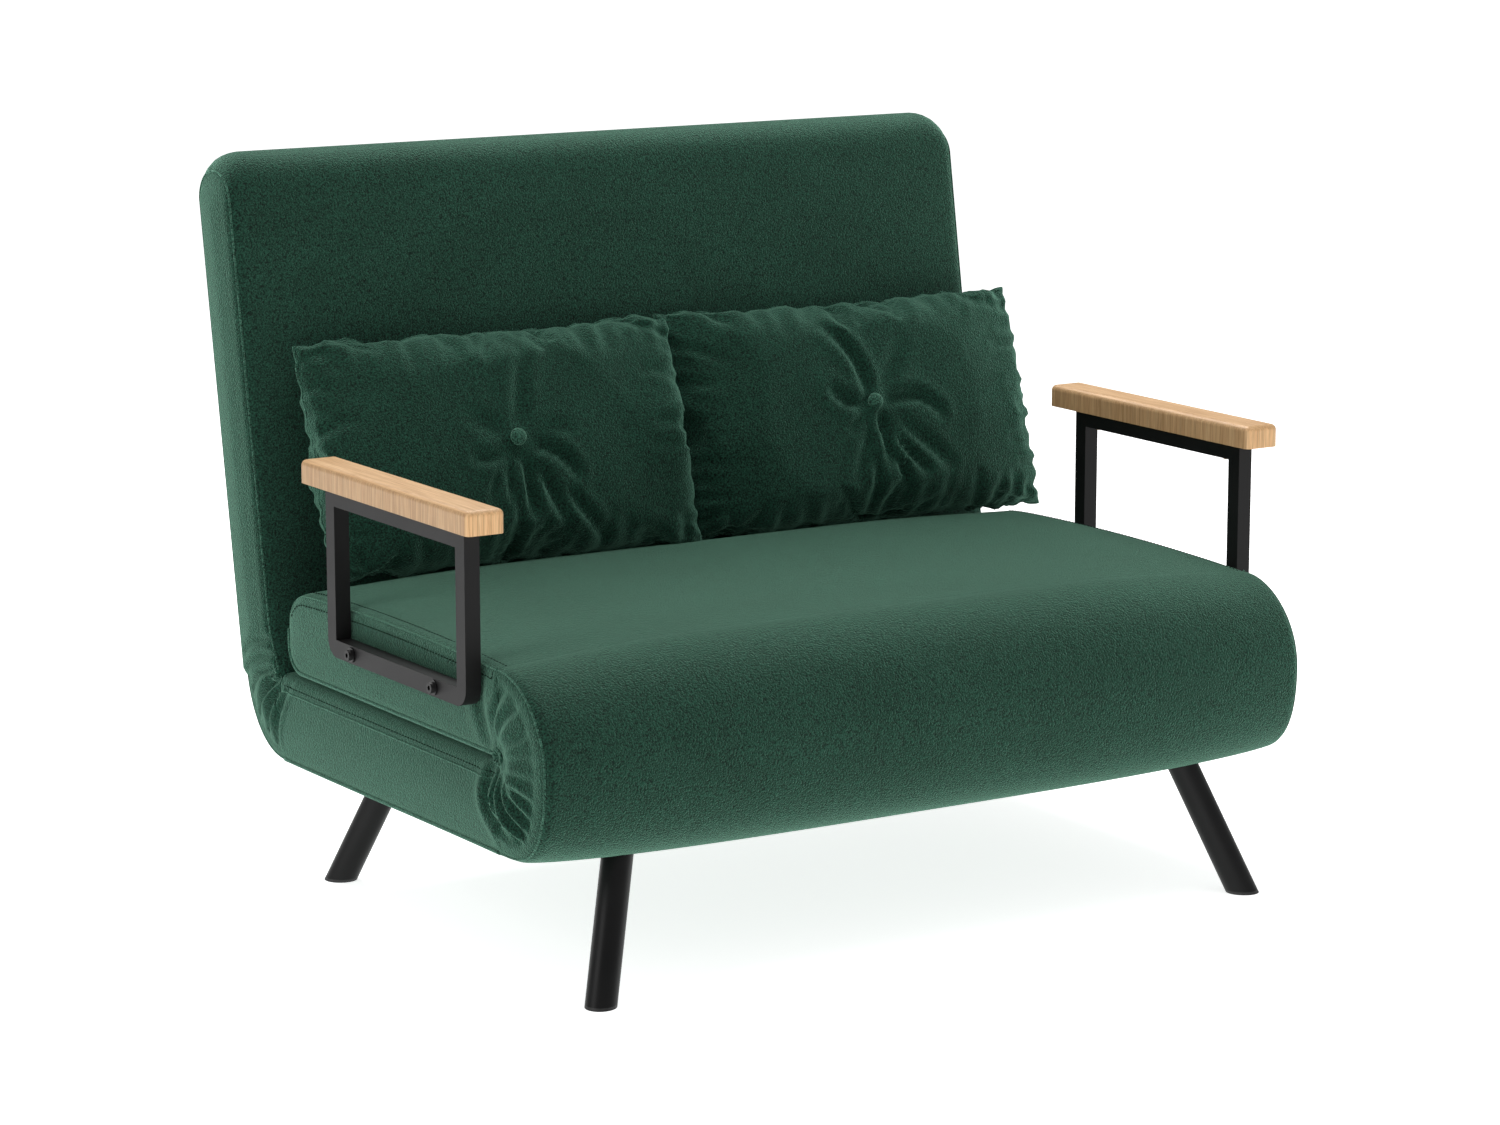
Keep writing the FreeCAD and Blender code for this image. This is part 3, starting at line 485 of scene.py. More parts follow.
def powder_coat(name, colour, roughness):
    """Baked black paint with a very fine orange peel and slightly worn patches."""
    g = Graph(name)
    cloud = g.noise(14, 3, 0.6)
    g.colour(cloud, (0.35, colour), (0.75, tuple(c * 1.6 + 0.0015 for c in colour)))
    g.roughness(cloud, roughness - 0.05, roughness + 0.09)
    g.fixed(Specular_IOR_Level=0.22)
    g.bump(g.noise(420, 2, 0.5), 0.12, 0.0004)
    return g.material


def zinc(name):
    """Zinc plating with a faint spangle, dulled by grime in patches."""
    g = Graph(name)
    spangle = g.node("ShaderNodeTexVoronoi")
    spangle.inputs["Scale"].default_value = 120
    g.join(g.coordinates(), spangle.inputs["Vector"])
    grime = g.noise(35, 4, 0.6)
    colour = g.ramp(spangle.outputs["Color"], [(0.2, (0.38, 0.39, 0.40)), (0.8, (0.58, 0.59, 0.60))])
    g.join(g.mix(g.spread(grime, 0, 0.3), colour, (0.24, 0.23, 0.21)), g.shader.inputs["Base Color"])
    g.roughness(grime, 0.3, 0.52)
    g.fixed(Metallic=1.0)
    g.bump(grime, 0.15, 0.0005)
    return g.material


OAK_TOP = [(0.30, (0.50, 0.285, 0.125)), (0.52, (0.66, 0.41, 0.205)), (0.75, (0.76, 0.51, 0.28))]
OAK_TOP_FINE = [(0.40, (0.80, 0.76, 0.70)), (0.58, (1.05, 1.05, 1.05))]
OAK_TOP_BANDS = (0.56, 0.34, 0.16)
# the end-grain colours are lighter than the top's: partly the wood's grain, partly painted light on the
# ends, which face the light
OAK_SIDE = [(0.28, (0.66, 0.36, 0.16)), (0.5, (0.90, 0.56, 0.28)), (0.76, (0.98, 0.70, 0.40))]
OAK_SIDE_FINE = [(0.40, (0.70, 0.66, 0.60)), (0.58, (1.06, 1.06, 1.06))]
OAK_SIDE_BANDS = (0.53, 0.32, 0.15)
OAK_LONG_SIDE_SHADE = (0.60, 0.60, 0.60)      # painted shade: the long sides are darkened against the ends, which face the light


def facing(g, axis):
    """How far a surface faces along an axis of its piece, 0 to 1."""
    place = g.node("ShaderNodeTexCoord")
    parts = g.node("ShaderNodeSeparateXYZ")
    g.join(place.outputs["Normal"], parts.inputs["Vector"])
    level = g.node("ShaderNodeMath", operation="ABSOLUTE")
    g.join(parts.outputs[axis], level.inputs[0])
    return level.outputs["Value"]


def grained(g, grain, stops, bands, band_share, band_colour, fine, fine_stops):
    """Wood colour: grain, darker wide bands over it, and fine lines."""
    colour = g.mix(g.spread(bands, 0.0, band_share), g.ramp(grain, stops), band_colour)
    return g.mix(0.9, colour, g.ramp(fine, fine_stops), "MULTIPLY")


def oak(name):
    """Light lacquered oak: long grain on top, upright end-grain stripes round the sides; painted light on
    the ends and painted shade on the long sides.
    """
    g = Graph(name)
    long_grain = g.noise(1, 5, 0.62, (210, 7, 210), 0.35)
    pores = g.noise(1, 2, 0.5, (900, 30, 900))
    top = grained(g, long_grain, OAK_TOP, g.noise(1, 2, 0.5, (34, 2.2, 34), 0.5), 0.5, OAK_TOP_BANDS,
                  g.noise(1, 3, 0.7, (620, 16, 620)), OAK_TOP_FINE)
    side = grained(g, g.noise(1, 5, 0.7, (190, 190, 6), 0.15), OAK_SIDE,
                   g.noise(1, 2, 0.5, (42, 42, 2.5), 0.2), 0.6, OAK_SIDE_BANDS,
                   g.noise(1, 3, 0.7, (620, 620, 14)), OAK_SIDE_FINE)
    # painted shade: the long sides, which don't face along Y, are multiplied darker
    side = g.mix(g.spread(facing(g, "Y"), 1.0, 0.0), side, OAK_LONG_SIDE_SHADE, "MULTIPLY")
    upward = g.node("ShaderNodeMapRange")
    upward.inputs["From Min"].default_value = 0.55
    upward.inputs["From Max"].default_value = 0.8
    g.join(facing(g, "Z"), upward.inputs["Value"])
    g.join(g.mix(upward.outputs["Result"], side, top), g.shader.inputs["Base Color"])
    g.roughness(pores, 0.38, 0.55)
    g.fixed(Specular_IOR_Level=0.4, Coat_Weight=0.08, Coat_Roughness=0.35)
    g.bump(g.add(long_grain, pores, 0.5), 0.18, 0.0006)
    return g.material


def foam(name):
    g = Graph(name)
    cells = g.noise(480, 3, 0.7)
    g.colour(cells, (0.3, (0.62, 0.55, 0.36)), (0.7, (0.86, 0.80, 0.60)))
    g.fixed(Roughness=0.95)
    g.bump(cells, 0.6, 0.0015)
    return g.material


def strap(name):
    g = Graph(name)
    weave = g.node("ShaderNodeTexWave", bands_direction="Y")
    weave.inputs["Scale"].default_value = 300
    g.join(g.coordinates(), weave.inputs["Vector"])
    g.colour(weave.outputs["Fac"], (0.2, (0.03, 0.03, 0.03)), (0.8, (0.12, 0.12, 0.12)))
    g.fixed(Roughness=0.85)
    g.bump(weave.outputs["Fac"], 0.5, 0.0006)
    return g.material


def plastic(name):
    g = Graph(name)
    grain = g.noise(260, 2, 0.5)
    g.colour(grain, (0.3, (0.012, 0.012, 0.012)), (0.7, (0.022, 0.022, 0.023)))
    g.roughness(grain, 0.42, 0.6)
    g.bump(grain, 0.2, 0.0004)
    return g.material


VELVET = velvet("green_velvet", (0.0048, 0.0245, 0.0148), (0.0082, 0.035, 0.0222),
                (0.30, 0.60, 0.445))
PILLOW_VELVET = velvet("pillow_velvet", (0.0038, 0.0215, 0.0126), (0.0070, 0.032, 0.020),
                       (0.28, 0.60, 0.445))
# painted highlight: a lighter copy of the velvet for the piping, seams, hem lines, pillow rims and buttons,
# standing in for the sheen along them
SEAM_HIGHLIGHT_CLOTH = velvet("seam_highlight_cloth", (0.016, 0.055, 0.036), (0.024, 0.075, 0.050), (0.34, 0.66, 0.50))
DARK_THREAD = thread("dark_thread", (0.006, 0.020, 0.013))
BLACK_STEEL = powder_coat("black_steel", (0.0048, 0.0046, 0.0048), 0.48)
BLACK_LEG = powder_coat("black_leg", (0.0032, 0.0032, 0.0034), 0.36)
BOLT_BLACK = powder_coat("bolt_black", (0.0040, 0.0040, 0.0042), 0.38)
INNER_STEEL = powder_coat("inner_steel", (0.05, 0.05, 0.052), 0.5)
ZINC = zinc("zinc_steel")
OAK = oak("light_oak")
FOAM = foam("foam")
STRAP = strap("webbing")
PLASTIC = plastic("black_plastic")


# ---------------------------------------------------------------- side panels, shared by all sections
# fold routes on the side faces: (start, middle, end) as (y, z), depth, half width
FRONT_CREASES = [
    (((-0.334, 0.426), (-0.322, 0.385), (-0.346, 0.330)), 0.0045, 0.0120),
    (((-0.392, 0.412), (-0.366, 0.378), (-0.362, 0.338)), 0.0034, 0.0068),
    (((-0.432, 0.398), (-0.396, 0.372), (-0.374, 0.338)), 0.0036, 0.0068),
    (((-0.462, 0.372), (-0.424, 0.350), (-0.388, 0.330)), 0.0030, 0.0062),
    (((-0.474, 0.330), (-0.436, 0.322), (-0.396, 0.314)), 0.0022, 0.0056),
    (((-0.474, 0.298), (-0.436, 0.298), (-0.394, 0.302)), 0.0028, 0.0054),
    (((-0.356, 0.298), (-0.352, 0.246), (-0.434, 0.200)), 0.0095, 0.0095),
    (((-0.370, 0.296), (-0.382, 0.244), (-0.444, 0.203)), 0.0080, 0.0064),
    (((-0.384, 0.294), (-0.408, 0.250), (-0.456, 0.210)), 0.0066, 0.0058),
    (((-0.398, 0.288), (-0.430, 0.256), (-0.466, 0.228)), 0.0050, 0.0052),
    (((-0.392, 0.294), (-0.434, 0.276), (-0.474, 0.256)), 0.0036, 0.0050),
]
REAR_CREASES = [
    (((0.268, 0.346), (0.306, 0.345), (0.350, 0.322)), 0.0042, 0.0062),
    (((0.262, 0.330), (0.300, 0.322), (0.344, 0.298)), 0.0050, 0.0060),
    (((0.262, 0.312), (0.300, 0.298), (0.340, 0.268)), 0.0060, 0.0058),
    (((0.248, 0.302), (0.282, 0.278), (0.318, 0.238)), 0.0070, 0.0060),
    (((0.236, 0.300), (0.262, 0.270), (0.288, 0.222)), 0.0066, 0.0058),
    (((0.222, 0.298), (0.246, 0.262), (0.264, 0.210)), 0.0054, 0.0062),
]
FRONT_WRAP_CENTRE = np.array([SEAT_LO[1] - 0.001, (SEAT_LO[2] + BASE_HI[2]) / 2])
REAR_WRAP_CENTRE = np.array([BASE_HI[1] + 0.0035, BASE_HI[2] - 0.001])


def swelling(depth, most):
    """Outward swelling of a side panel by its distance from the panel's outline."""
    return most * smooth(np.clip(depth / 0.055, 0, 1)) ** 0.8


def folds(y, z, routes):
    """Depth of all the folds in a list at (y, z)."""
    here = np.stack([y, z], axis=1)
    total = np.zeros(len(here))
    for route, depth, width in routes:
        total += crease(here, route, depth, width)
    return total


def most_swelling(y, z):
    """The fan-shaped ends swell more than the flat panel that the arm loops are bolted to."""
    flat = 0.0032 + 0.0036 * smooth((0.318 - z) / 0.03)
    fan = smooth((-0.338 - y) / 0.07) * 0.0075 + smooth((y - 0.235) / 0.06) * 0.004
    return flat + fan


def end_faces(grid):
    return (grid[:, 0] < 1e-6) | (grid[:, 0] > grid[:, 0].max() - 1e-6)


# ---------------------------------------------------------------- seat and base cushions
def seat_top(x, y):
    """Height of the seat's top, which runs on level into the front wrap."""
    rear = smooth((SEAT_HI[1] - y) / 0.10)
    along = np.clip((y - BORDER_Y) / (SEAT_HI[1] - BORDER_Y), 0, 1)
    corner_fall = 0.0085 * smooth((np.abs(x) - 0.30) / 0.30) * (2 * along - 1) ** 2
    return SEAT_HI[2] - 0.004 + (0.004 * rear + SEAT_CROWN * rear) * full_width(x) - corner_fall


def base_bottom(x, y):
    """Height of the base's underside: it hangs lower in the middle, most at the front."""
    share = 0.5 * (1 + np.cos(math.pi * np.clip((y - BORDER_Y) / (BASE_HI[1] - BORDER_Y), 0, 1)))
    return BASE_LO[2] - 0.001 - BASE_SAG * (0.15 + 0.85 * share) * full_width(x) + 0.005 * share


def tucked(y):
    """How much the seat and the base slim down where they run on into the wraps."""
    into = np.maximum(BORDER_Y - y, y - BASE_HI[1]) / (BORDER_Y - FRONT_END)
    return TUCK * smooth(into)


SEAT_RADII = (0.0, 0.040, 0.052, 0.0)
BASE_RADII = (0.0, 0.0, 0.0, 0.0)


def build_seat():
    depth_y = SEAT_HI[1] - FRONT_END
    height = SEAT_HI[2] - SEAT_LO[2]
    grid, faces = box_grid((grid_lines(2 * HALF_WIDTH, GRID), grid_lines(depth_y, GRID, FINE_STRETCH),
                            grid_lines(height, SIDE_GRID)))
    x, a, b, depth, *_ = cushion_points(grid, HALF_WIDTH, depth_y, height, SEAT_RADII, (0,))
    y, z = FRONT_END + a, SEAT_LO[2] + b
    side = end_faces(grid)
    swell = swelling(depth, most_swelling(y, z)) - folds(y, z, FRONT_CREASES)
    x = x + np.sign(x) * (np.where(side, swell * smooth(depth / EDGE_FADE), 0) - tucked(y))
    rise = smooth((b - 0.3 * height) / (0.7 * height))
    z = z + (seat_top(x, y) - SEAT_HI[2] - tucked(y)) * rise
    points = np.stack([x, y, z], axis=1)
    uneven = lumps(points, 0.33, 11) * 0.0012
    points[:, 2] += uneven * rise * (1 - side) * smooth((y - BORDER_Y) / 0.08)
    return mesh_piece("seat_cushion", points, faces, VELVET)


def build_base():
    depth_y = REAR_END - FRONT_END
    height = BASE_HI[2] - BASE_LO[2] - 0.008
    lines = (grid_lines(2 * HALF_WIDTH, GRID), grid_lines(depth_y, GRID, FINE_STRETCH, FINE_STRETCH),
             grid_lines(height, SIDE_GRID))
    grid, faces = box_grid(lines)
    x, a, b, depth, *_ = cushion_points(grid, HALF_WIDTH, depth_y, height, BASE_RADII, (0, 1))
    y, z = FRONT_END + a, BASE_HI[2] - height + b
    side = end_faces(grid)
    low = smooth(1 - b / height)
    z = z + (base_bottom(x, y) + tucked(y) - (BASE_HI[2] - height)) * low
    swell = swelling(depth, most_swelling(y, z)) - folds(y, z, FRONT_CREASES) - folds(y, z, REAR_CREASES)
    x = x + np.sign(x) * (np.where(side, swell * smooth(depth / EDGE_FADE), 0) - tucked(y))
    return mesh_piece("base_cushion", np.stack([x, y, z], axis=1), faces, VELVET)


# ---------------------------------------------------------------- back cushion
BACK_HALF_WIDTH = HALF_WIDTH + 0.0055
BACK_LOW = 0.003            # where the back's cover meets the rear gusset
BACK_FOOT = -0.005          # the back runs on into the gusset as far as this
BACK_RADII = (0.0, 0.0, 0.046, 0.050)
BACK_CORNER = 0.046


def back_drop(x, u):
    """How far the back's top line falls near its two upper corners."""
    near = np.clip(np.abs(x) - (BACK_HALF_WIDTH - BACK_CORNER), 0, BACK_CORNER)
    drop = BACK_CORNER - np.sqrt(np.maximum(BACK_CORNER ** 2 - near ** 2, 0))
    return drop * 0.75 * smooth((u / BACK_TOP - 0.80) / 0.20) + 0.0045 * smooth(u / BACK_TOP)


def back_lobe(x, u, v):
    """The side panels reach forward at the foot, over the hinges."""
    return 0.017 * (1 - smooth(u / 0.075)) * smooth((np.abs(x) - 0.535) / 0.05) * (1 - smooth(v / 0.06))


def build_back():
    size_u = BACK_TOP - BACK_FOOT
    grid, faces = box_grid((grid_lines(2 * BACK_HALF_WIDTH, GRID), grid_lines(BACK_THICK, SIDE_GRID),
                            grid_lines(size_u, GRID, FINE_STRETCH)))
    x, v, u, depth, out_v, _ = cushion_points(
        grid, BACK_HALF_WIDTH, BACK_THICK, size_u, BACK_RADII, (2,))
    side = end_faces(grid)
    middle = np.clip(1 - (2 * u / size_u - 1) ** 4, 0, 1)
    crown = full_width(x * HALF_WIDTH / BACK_HALF_WIDTH) * middle ** 0.7
    swell = BACK_CROWN * (out_v < -0.5) - 0.006 * (out_v > 0.5)
    v = v - np.where(side, 0, swell * crown)
    v = v - back_lobe(x, u, v)
    u = BACK_FOOT + u - back_drop(x, u)
    inside = TUCK * smooth((BACK_LOW - u) / (BACK_LOW - BACK_FOOT))
    v = v - np.where(v > BACK_THICK / 2, inside, 0)
    points = REAR_AXIS + np.outer(u, UP_BACK) + np.outer(v, OUT_BACK)
    fold = folds(points[:, 1], points[:, 2], REAR_CREASES)
    bulge = swelling(depth, 0.005) - fold * smooth((0.13 - u) / 0.05)
    points[:, 0] = x + np.sign(x) * (np.where(side, bulge * smooth(depth / EDGE_FADE), 0) - inside)
    uneven = lumps(points, 0.42, 23) * 0.0016
    points += np.outer(uneven * crown * (1 - side), OUT_BACK)
    return mesh_piece("back_cushion", points, faces, VELVET)


# ---------------------------------------------------------------- wraps round the folds
FAN_RINGS = 34          # rings of points on a wrap's side face


def wrap_columns():
    """The x places of a wrap's lines, and how far in each one lies at the rounded ends."""
    inner = HALF_WIDTH - EDGE_ROUND
    angles = np.linspace(0, math.pi / 2, 6)[1:]
    out, inset = EDGE_ROUND * np.sin(angles), EDGE_ROUND * (1 - np.cos(angles))
    across = np.linspace(-inner, inner, int(2 * inner / GRID) + 1)
    left = [(-inner - step, deep) for step, deep in zip(out[::-1], inset[::-1])]
    right = [(inner + step, deep) for step, deep in zip(out, inset)]
    return left + [(x, 0.0) for x in across] + right


def rim_line(rim, t, x, inset, roundness):
    """One line of a wrap's outer face at x, moved in by inset, more where the end is rounder."""
    inner = HALF_WIDTH - EDGE_ROUND
    line = rim(t, np.full_like(t, np.clip(x, -inner, inner)))
    tangent = np.gradient(line, axis=0)
    tangent /= np.linalg.norm(tangent, axis=1)[:, None]
    outward = np.stack([tangent[:, 1], -tangent[:, 0]], axis=1)
    return line - outward * (inset * (1 + roundness * np.sin(math.pi * t)))[:, None]


def fan(points, column, side, centre, arc_count):
    """A wrap's side face: rings that shrink from the rim to the centre point. Returns its faces
    and the number of its first point, and adds its points."""
    rows = arc_count + 1
    edge = np.array(points[column:column + rows])[:, 1:]
    start = len(points)
    for k in range(1, FAN_RINGS):
        ring_at = centre + (edge - centre) * (1 - k / FAN_RINGS)
        points += [(side * HALF_WIDTH, y, z) for y, z in ring_at]
    points.append((side * HALF_WIDTH, *centre))
    tip = len(points) - 1
    faces = []
    for k in range(FAN_RINGS):
        outer_at = start + (k - 1) * rows if k else column
        inner_at = start + k * rows
        for r in range(arc_count):
            if k < FAN_RINGS - 1:
                face = (outer_at + r, outer_at + r + 1, inner_at + r + 1, inner_at + r)
            else:
                face = (outer_at + r, outer_at + r + 1, tip)
            faces.append(face if side > 0 else face[::-1])
    return faces, start


def swell_fan(points, column, start, side, centre, arc_count, routes):
    """Lets a side face swell outward and lays its folds in."""
    rows = arc_count + 1
    stop = start + (FAN_RINGS - 1) * rows + 1
    flat = points[start:stop, 1:]
    edge = points[column:column + rows, 1:]
    from_rim = np.repeat(np.arange(1, FAN_RINGS) / FAN_RINGS, rows)
    reach = np.tile(np.linalg.norm(edge - centre, axis=1), FAN_RINGS - 1)
    depth = np.r_[from_rim * reach, 1.0]
    to_centre = np.linalg.norm(flat - centre, axis=1)
    swell = swelling(depth, most_swelling(*flat.T)) * smooth(to_centre / 0.045)
    swell -= folds(*flat.T, routes)
    points[start:stop, 0] += side * swell * smooth(depth / EDGE_FADE)


def build_wrap(name, rim, centre, arc_count, routes, roundness):
    """A stuffed cover round a fold: rim(t, x) is its outer line, from t 0 to 1, at each x.
    Its side faces fan in from the rim to the centre, with creases."""
    t = np.linspace(0, 1, arc_count + 1)
    columns = wrap_columns()
    points = []
    for x, inset in columns:
        points += [(x, y, z) for y, z in rim_line(rim, t, x, inset, roundness)]
    rows = arc_count + 1
    faces = []
    for c in range(len(columns) - 1):
        for r in range(arc_count):
            a = c * rows + r
            faces.append((a, a + rows, a + rows + 1, a + 1))
    starts = {}
    for side, column in ((-1, 0), (1, (len(columns) - 1) * rows)):
        fan_faces, start = fan(points, column, side, centre, arc_count)
        faces += fan_faces
        starts[side] = (column, start)
    faces += wrap_ends(starts, rows, arc_count, len(columns))
    points = np.array(points, float)
    for side, (column, start) in starts.items():
        swell_fan(points, column, start, side, centre, arc_count, routes)
    return mesh_piece(name, points, faces, VELVET, 55)


def wrap_ends(starts, rows, arc_count, column_count):
    """The hidden flat faces of a wrap, where it meets the two cushions."""
    faces = []
    for end in (0, arc_count):
        lines = []
        for side in (-1, 1):
            column, start = starts[side]
            line = [column + end] + [start + k * rows + end for k in range(FAN_RINGS - 1)]
            lines.append(line + [start + (FAN_RINGS - 1) * rows])
        lefts, rights = lines
        outer = [c * rows + end for c in range(column_count)]
        strips = [outer + [rights[1], lefts[1]]]
        strips += [[lefts[k], rights[k], rights[k + 1], lefts[k + 1]] for k in range(1, FAN_RINGS)]
        faces += [strip if end == 0 else strip[::-1] for strip in strips]
    return faces


def front_rim(t, x):
    """Front wrap's outer line: on from the seat's top, round, and back under the base."""
    lead = 0.05
    centre_y, centre_z = FRONT_WRAP_CENTRE
    angle = math.pi * np.clip((t - lead) / (1 - 2 * lead), 0, 1)
    top = seat_top(x, np.full_like(x, BORDER_Y))
    bottom = base_bottom(x, np.full_like(x, BORDER_Y))
    reach = centre_y - WRAP_LO[1] + 0.006 * full_width(x)
    tall = np.where(angle < math.pi / 2, top - centre_z, centre_z - bottom)
    fullness_y = np.where(angle < math.pi / 2, 1.12, 0.62)
    fullness_z = np.where(angle < math.pi / 2, 1, 0.9)
    y = centre_y - reach * np.sin(angle) ** fullness_y
    z = centre_z + tall * np.sign(np.cos(angle)) * np.abs(np.cos(angle)) ** fullness_z
    y = np.where(t < lead, BORDER_Y + (centre_y - BORDER_Y) * t / lead, y)
    y = np.where(t > 1 - lead, BORDER_Y + (centre_y - BORDER_Y) * (1 - t) / lead, y)
    return np.stack([y, z], axis=1)


def rear_rim(t, x):
    """Rear gusset's outer line: from under the base, round, and up to the back's rear face."""
    bottom = base_bottom(x, np.full_like(x, BASE_HI[1]))
    start = np.stack([np.full_like(x, BASE_HI[1] + 0.0006), bottom], axis=1)
    end = REAR_AXIS + UP_BACK * BACK_LOW + OUT_BACK * (BACK_THICK + 0.0005)
    end = np.tile(end[1:], (len(t), 1))
    first = start + np.array([0.068, 0.0])
    second = end - UP_BACK[1:] * 0.058
    s = t[:, None]
    return (1 - s) ** 3 * start + 3 * s * (1 - s) ** 2 * first + 3 * s * s * (1 - s) * second + s ** 3 * end


# ---------------------------------------------------------------- pillows
PILLOW_CREASES = {
    # angle in degrees from the pillow's right, start and end in metres from the button, bend, depth,
    # width
    "left": [(192, 0.016, 0.072, 0.30, 0.0085, 0.0075), (232, 0.014, 0.090, -0.10, 0.0070, 0.0070),
             (252, 0.016, 0.075, -0.16, 0.0090, 0.0075), (274, 0.012, 0.100, 0.10, 0.0110, 0.0080),
             (262, 0.085, 0.165, 0.05, 0.0080, 0.0080), (296, 0.020, 0.140, 0.10, 0.0070, 0.0085),
             (330, 0.016, 0.100, 0.34, 0.0100, 0.0080), (8, 0.020, 0.080, 0.15, 0.0040, 0.0090),
             (75, 0.030, 0.110, 0.10, 0.0045, 0.0110), (150, 0.030, 0.080, 0.0, 0.0035, 0.0110),
             (312, 0.100, 0.190, -0.05, 0.0070, 0.0080)],
    "right": [(158, 0.014, 0.075, 0.26, 0.0100, 0.0078), (118, 0.018, 0.125, -0.24, 0.0095, 0.0085),
              (214, 0.014, 0.055, -0.18, 0.0060, 0.0070), (276, 0.012, 0.090, 0.05, 0.0110, 0.0065),
              (290, 0.018, 0.125, -0.08, 0.0090, 0.0068), (308, 0.014, 0.120, -0.12, 0.0095, 0.0075),
              (352, 0.014, 0.115, 0.38, 0.0105, 0.0080), (322, 0.030, 0.150, 0.05, 0.0060, 0.0100),
              (262, 0.080, 0.150, 0.05, 0.0080, 0.0080), (245, 0.030, 0.110, 0.0, 0.0040, 0.0100),
              (52, 0.030, 0.100, 0.0, 0.0035, 0.0120)],
}
PILLOW_CUT = 0.10           # how much fuller the flat cover is cut at mid-edge than the finished pillow
PILLOW_PRESSURE = 5.0
PILLOW_SINK = 0.010         # the bottom edge sinks this far into the rounded rear of the seat
PILLOW_FRAMES = 24
SEAM_BULGE = 0.0040         # cloth swells out past the seam
GATHER_DEPTH = 0.0050
TUFT_DEPTH = 1.25
BUTTON_RADIUS = 0.0125
# a side's axis and sign, a fold's usual length, how much the cloth bulges there, space between folds
GATHERED_SIDES = ((0, -1, 0.060, 1.0, 0.024), (0, 1, 0.060, 1.0, 0.024),
                  (1, 1, 0.034, 1.0, 0.036), (1, -1, 0.040, 0.3, 0.030))
PILLOW_OVERLAP = {"left": -0.016, "right": 0.020}     # one end comes forward, one goes behind
PILLOW_SEEDS = {"left": (31, 5), "right": (37, 8)}      # for the lumps and for the gathers


def pillow_sheet(count_x, count_z):
    """Two sheets sewn together at the rim: (s, t, face) per point with s and t in -1..1."""
    def lines(count):
        even = np.linspace(-1, 1, count + 1)
        return 0.45 * even + 0.55 * np.sin(even * math.pi / 2)

    lines_x, lines_z = lines(count_x), lines(count_z)
    keys, index, faces = [], {}, []

    def corner(i, j, face):
        rim = i in (0, count_x) or j in (0, count_z)
        key = (i, j, 0 if rim else face)
        if key not in index:
            index[key] = len(keys)
            keys.append((lines_x[i], lines_z[j], key[2]))
        return index[key]

    for face in (1, -1):
        for i in range(count_x):
            for j in range(count_z):
                quad = [corner(i, j, face), corner(i + 1, j, face),
                        corner(i + 1, j + 1, face), corner(i, j + 1, face)]
                faces.append(quad if face > 0 else quad[::-1])
    return np.array(keys), faces


def blow_up(piece, frames, pressure, cap):
    """Cloth simulation of a stuffed cover. Returns the points' new places."""
    rest = points_of(piece)
    cloth = piece.modifiers.new("blow_up", "CLOTH")
    settings = cloth.settings
    settings.quality = 6
    settings.mass = 0.35
    settings.tension_stiffness = 22
    settings.compression_stiffness = 22
    settings.shear_stiffness = 6
    settings.bending_stiffness = 0.9
    settings.tension_damping = 12
    settings.compression_damping = 12
    settings.air_damping = 2
    settings.use_pressure = True
    settings.uniform_pressure_force = pressure
    settings.effector_weights.gravity = 0
    cloth.collision_settings.use_collision = False
    cloth.collision_settings.use_self_collision = False
    scene = bpy.context.scene
    for frame_number in range(1, frames + 1):
        scene.frame_set(frame_number)
    evaluated = piece.evaluated_get(bpy.context.evaluated_depsgraph_get())
    moved = np.array([v.co for v in evaluated.data.vertices], float)
    piece.modifiers.remove(cloth)
    scene.frame_set(1)
    shift = moved - rest
    length = np.linalg.norm(shift, axis=1)
    shift *= (np.minimum(length, cap) / np.maximum(length, 1e-9))[:, None]
    return rest + shift


def trued(shape, s, t, half_wide, half_tall):
    """Scales the rows and columns so that the seam runs along the finished outline."""
    spread = shape.copy()
    for axis, fixed, other, half, bow in ((0, s, t, half_wide, 0.012), (1, t, s, half_tall, 0.022)):
        places = np.unique(other)
        rim = [np.abs(shape[(np.abs(fixed) > 0.999) & (other == place), axis]).mean() for place in places]
        wanted = half * (1 - bow * (1 - places ** 2))
        spread[:, axis] = shape[:, axis] * np.interp(other, places, wanted / np.array(rim))
    return spread


def pillow_folds(side, shape, face, button):
    """Tuft creases that run out from the button, mostly downward; the rear has fainter ones."""
    total = np.zeros(len(shape))
    for angle, start, end, bend, deep, width in PILLOW_CREASES[side]:
        angle = math.radians(angle)
        run = np.array([math.cos(angle), math.sin(angle)])
        across = np.array([-run[1], run[0]])
        first = np.array(button) + run * start
        last = np.array(button) + run * end
        middle = (first + last) / 2 + across * bend * (end - start) * 0.5
        total += crease(shape[:, :2], (first, middle, last), deep * TUFT_DEPTH, width)
    return total * np.where(face > 0, 1.0, 0.4) * (face != 0)


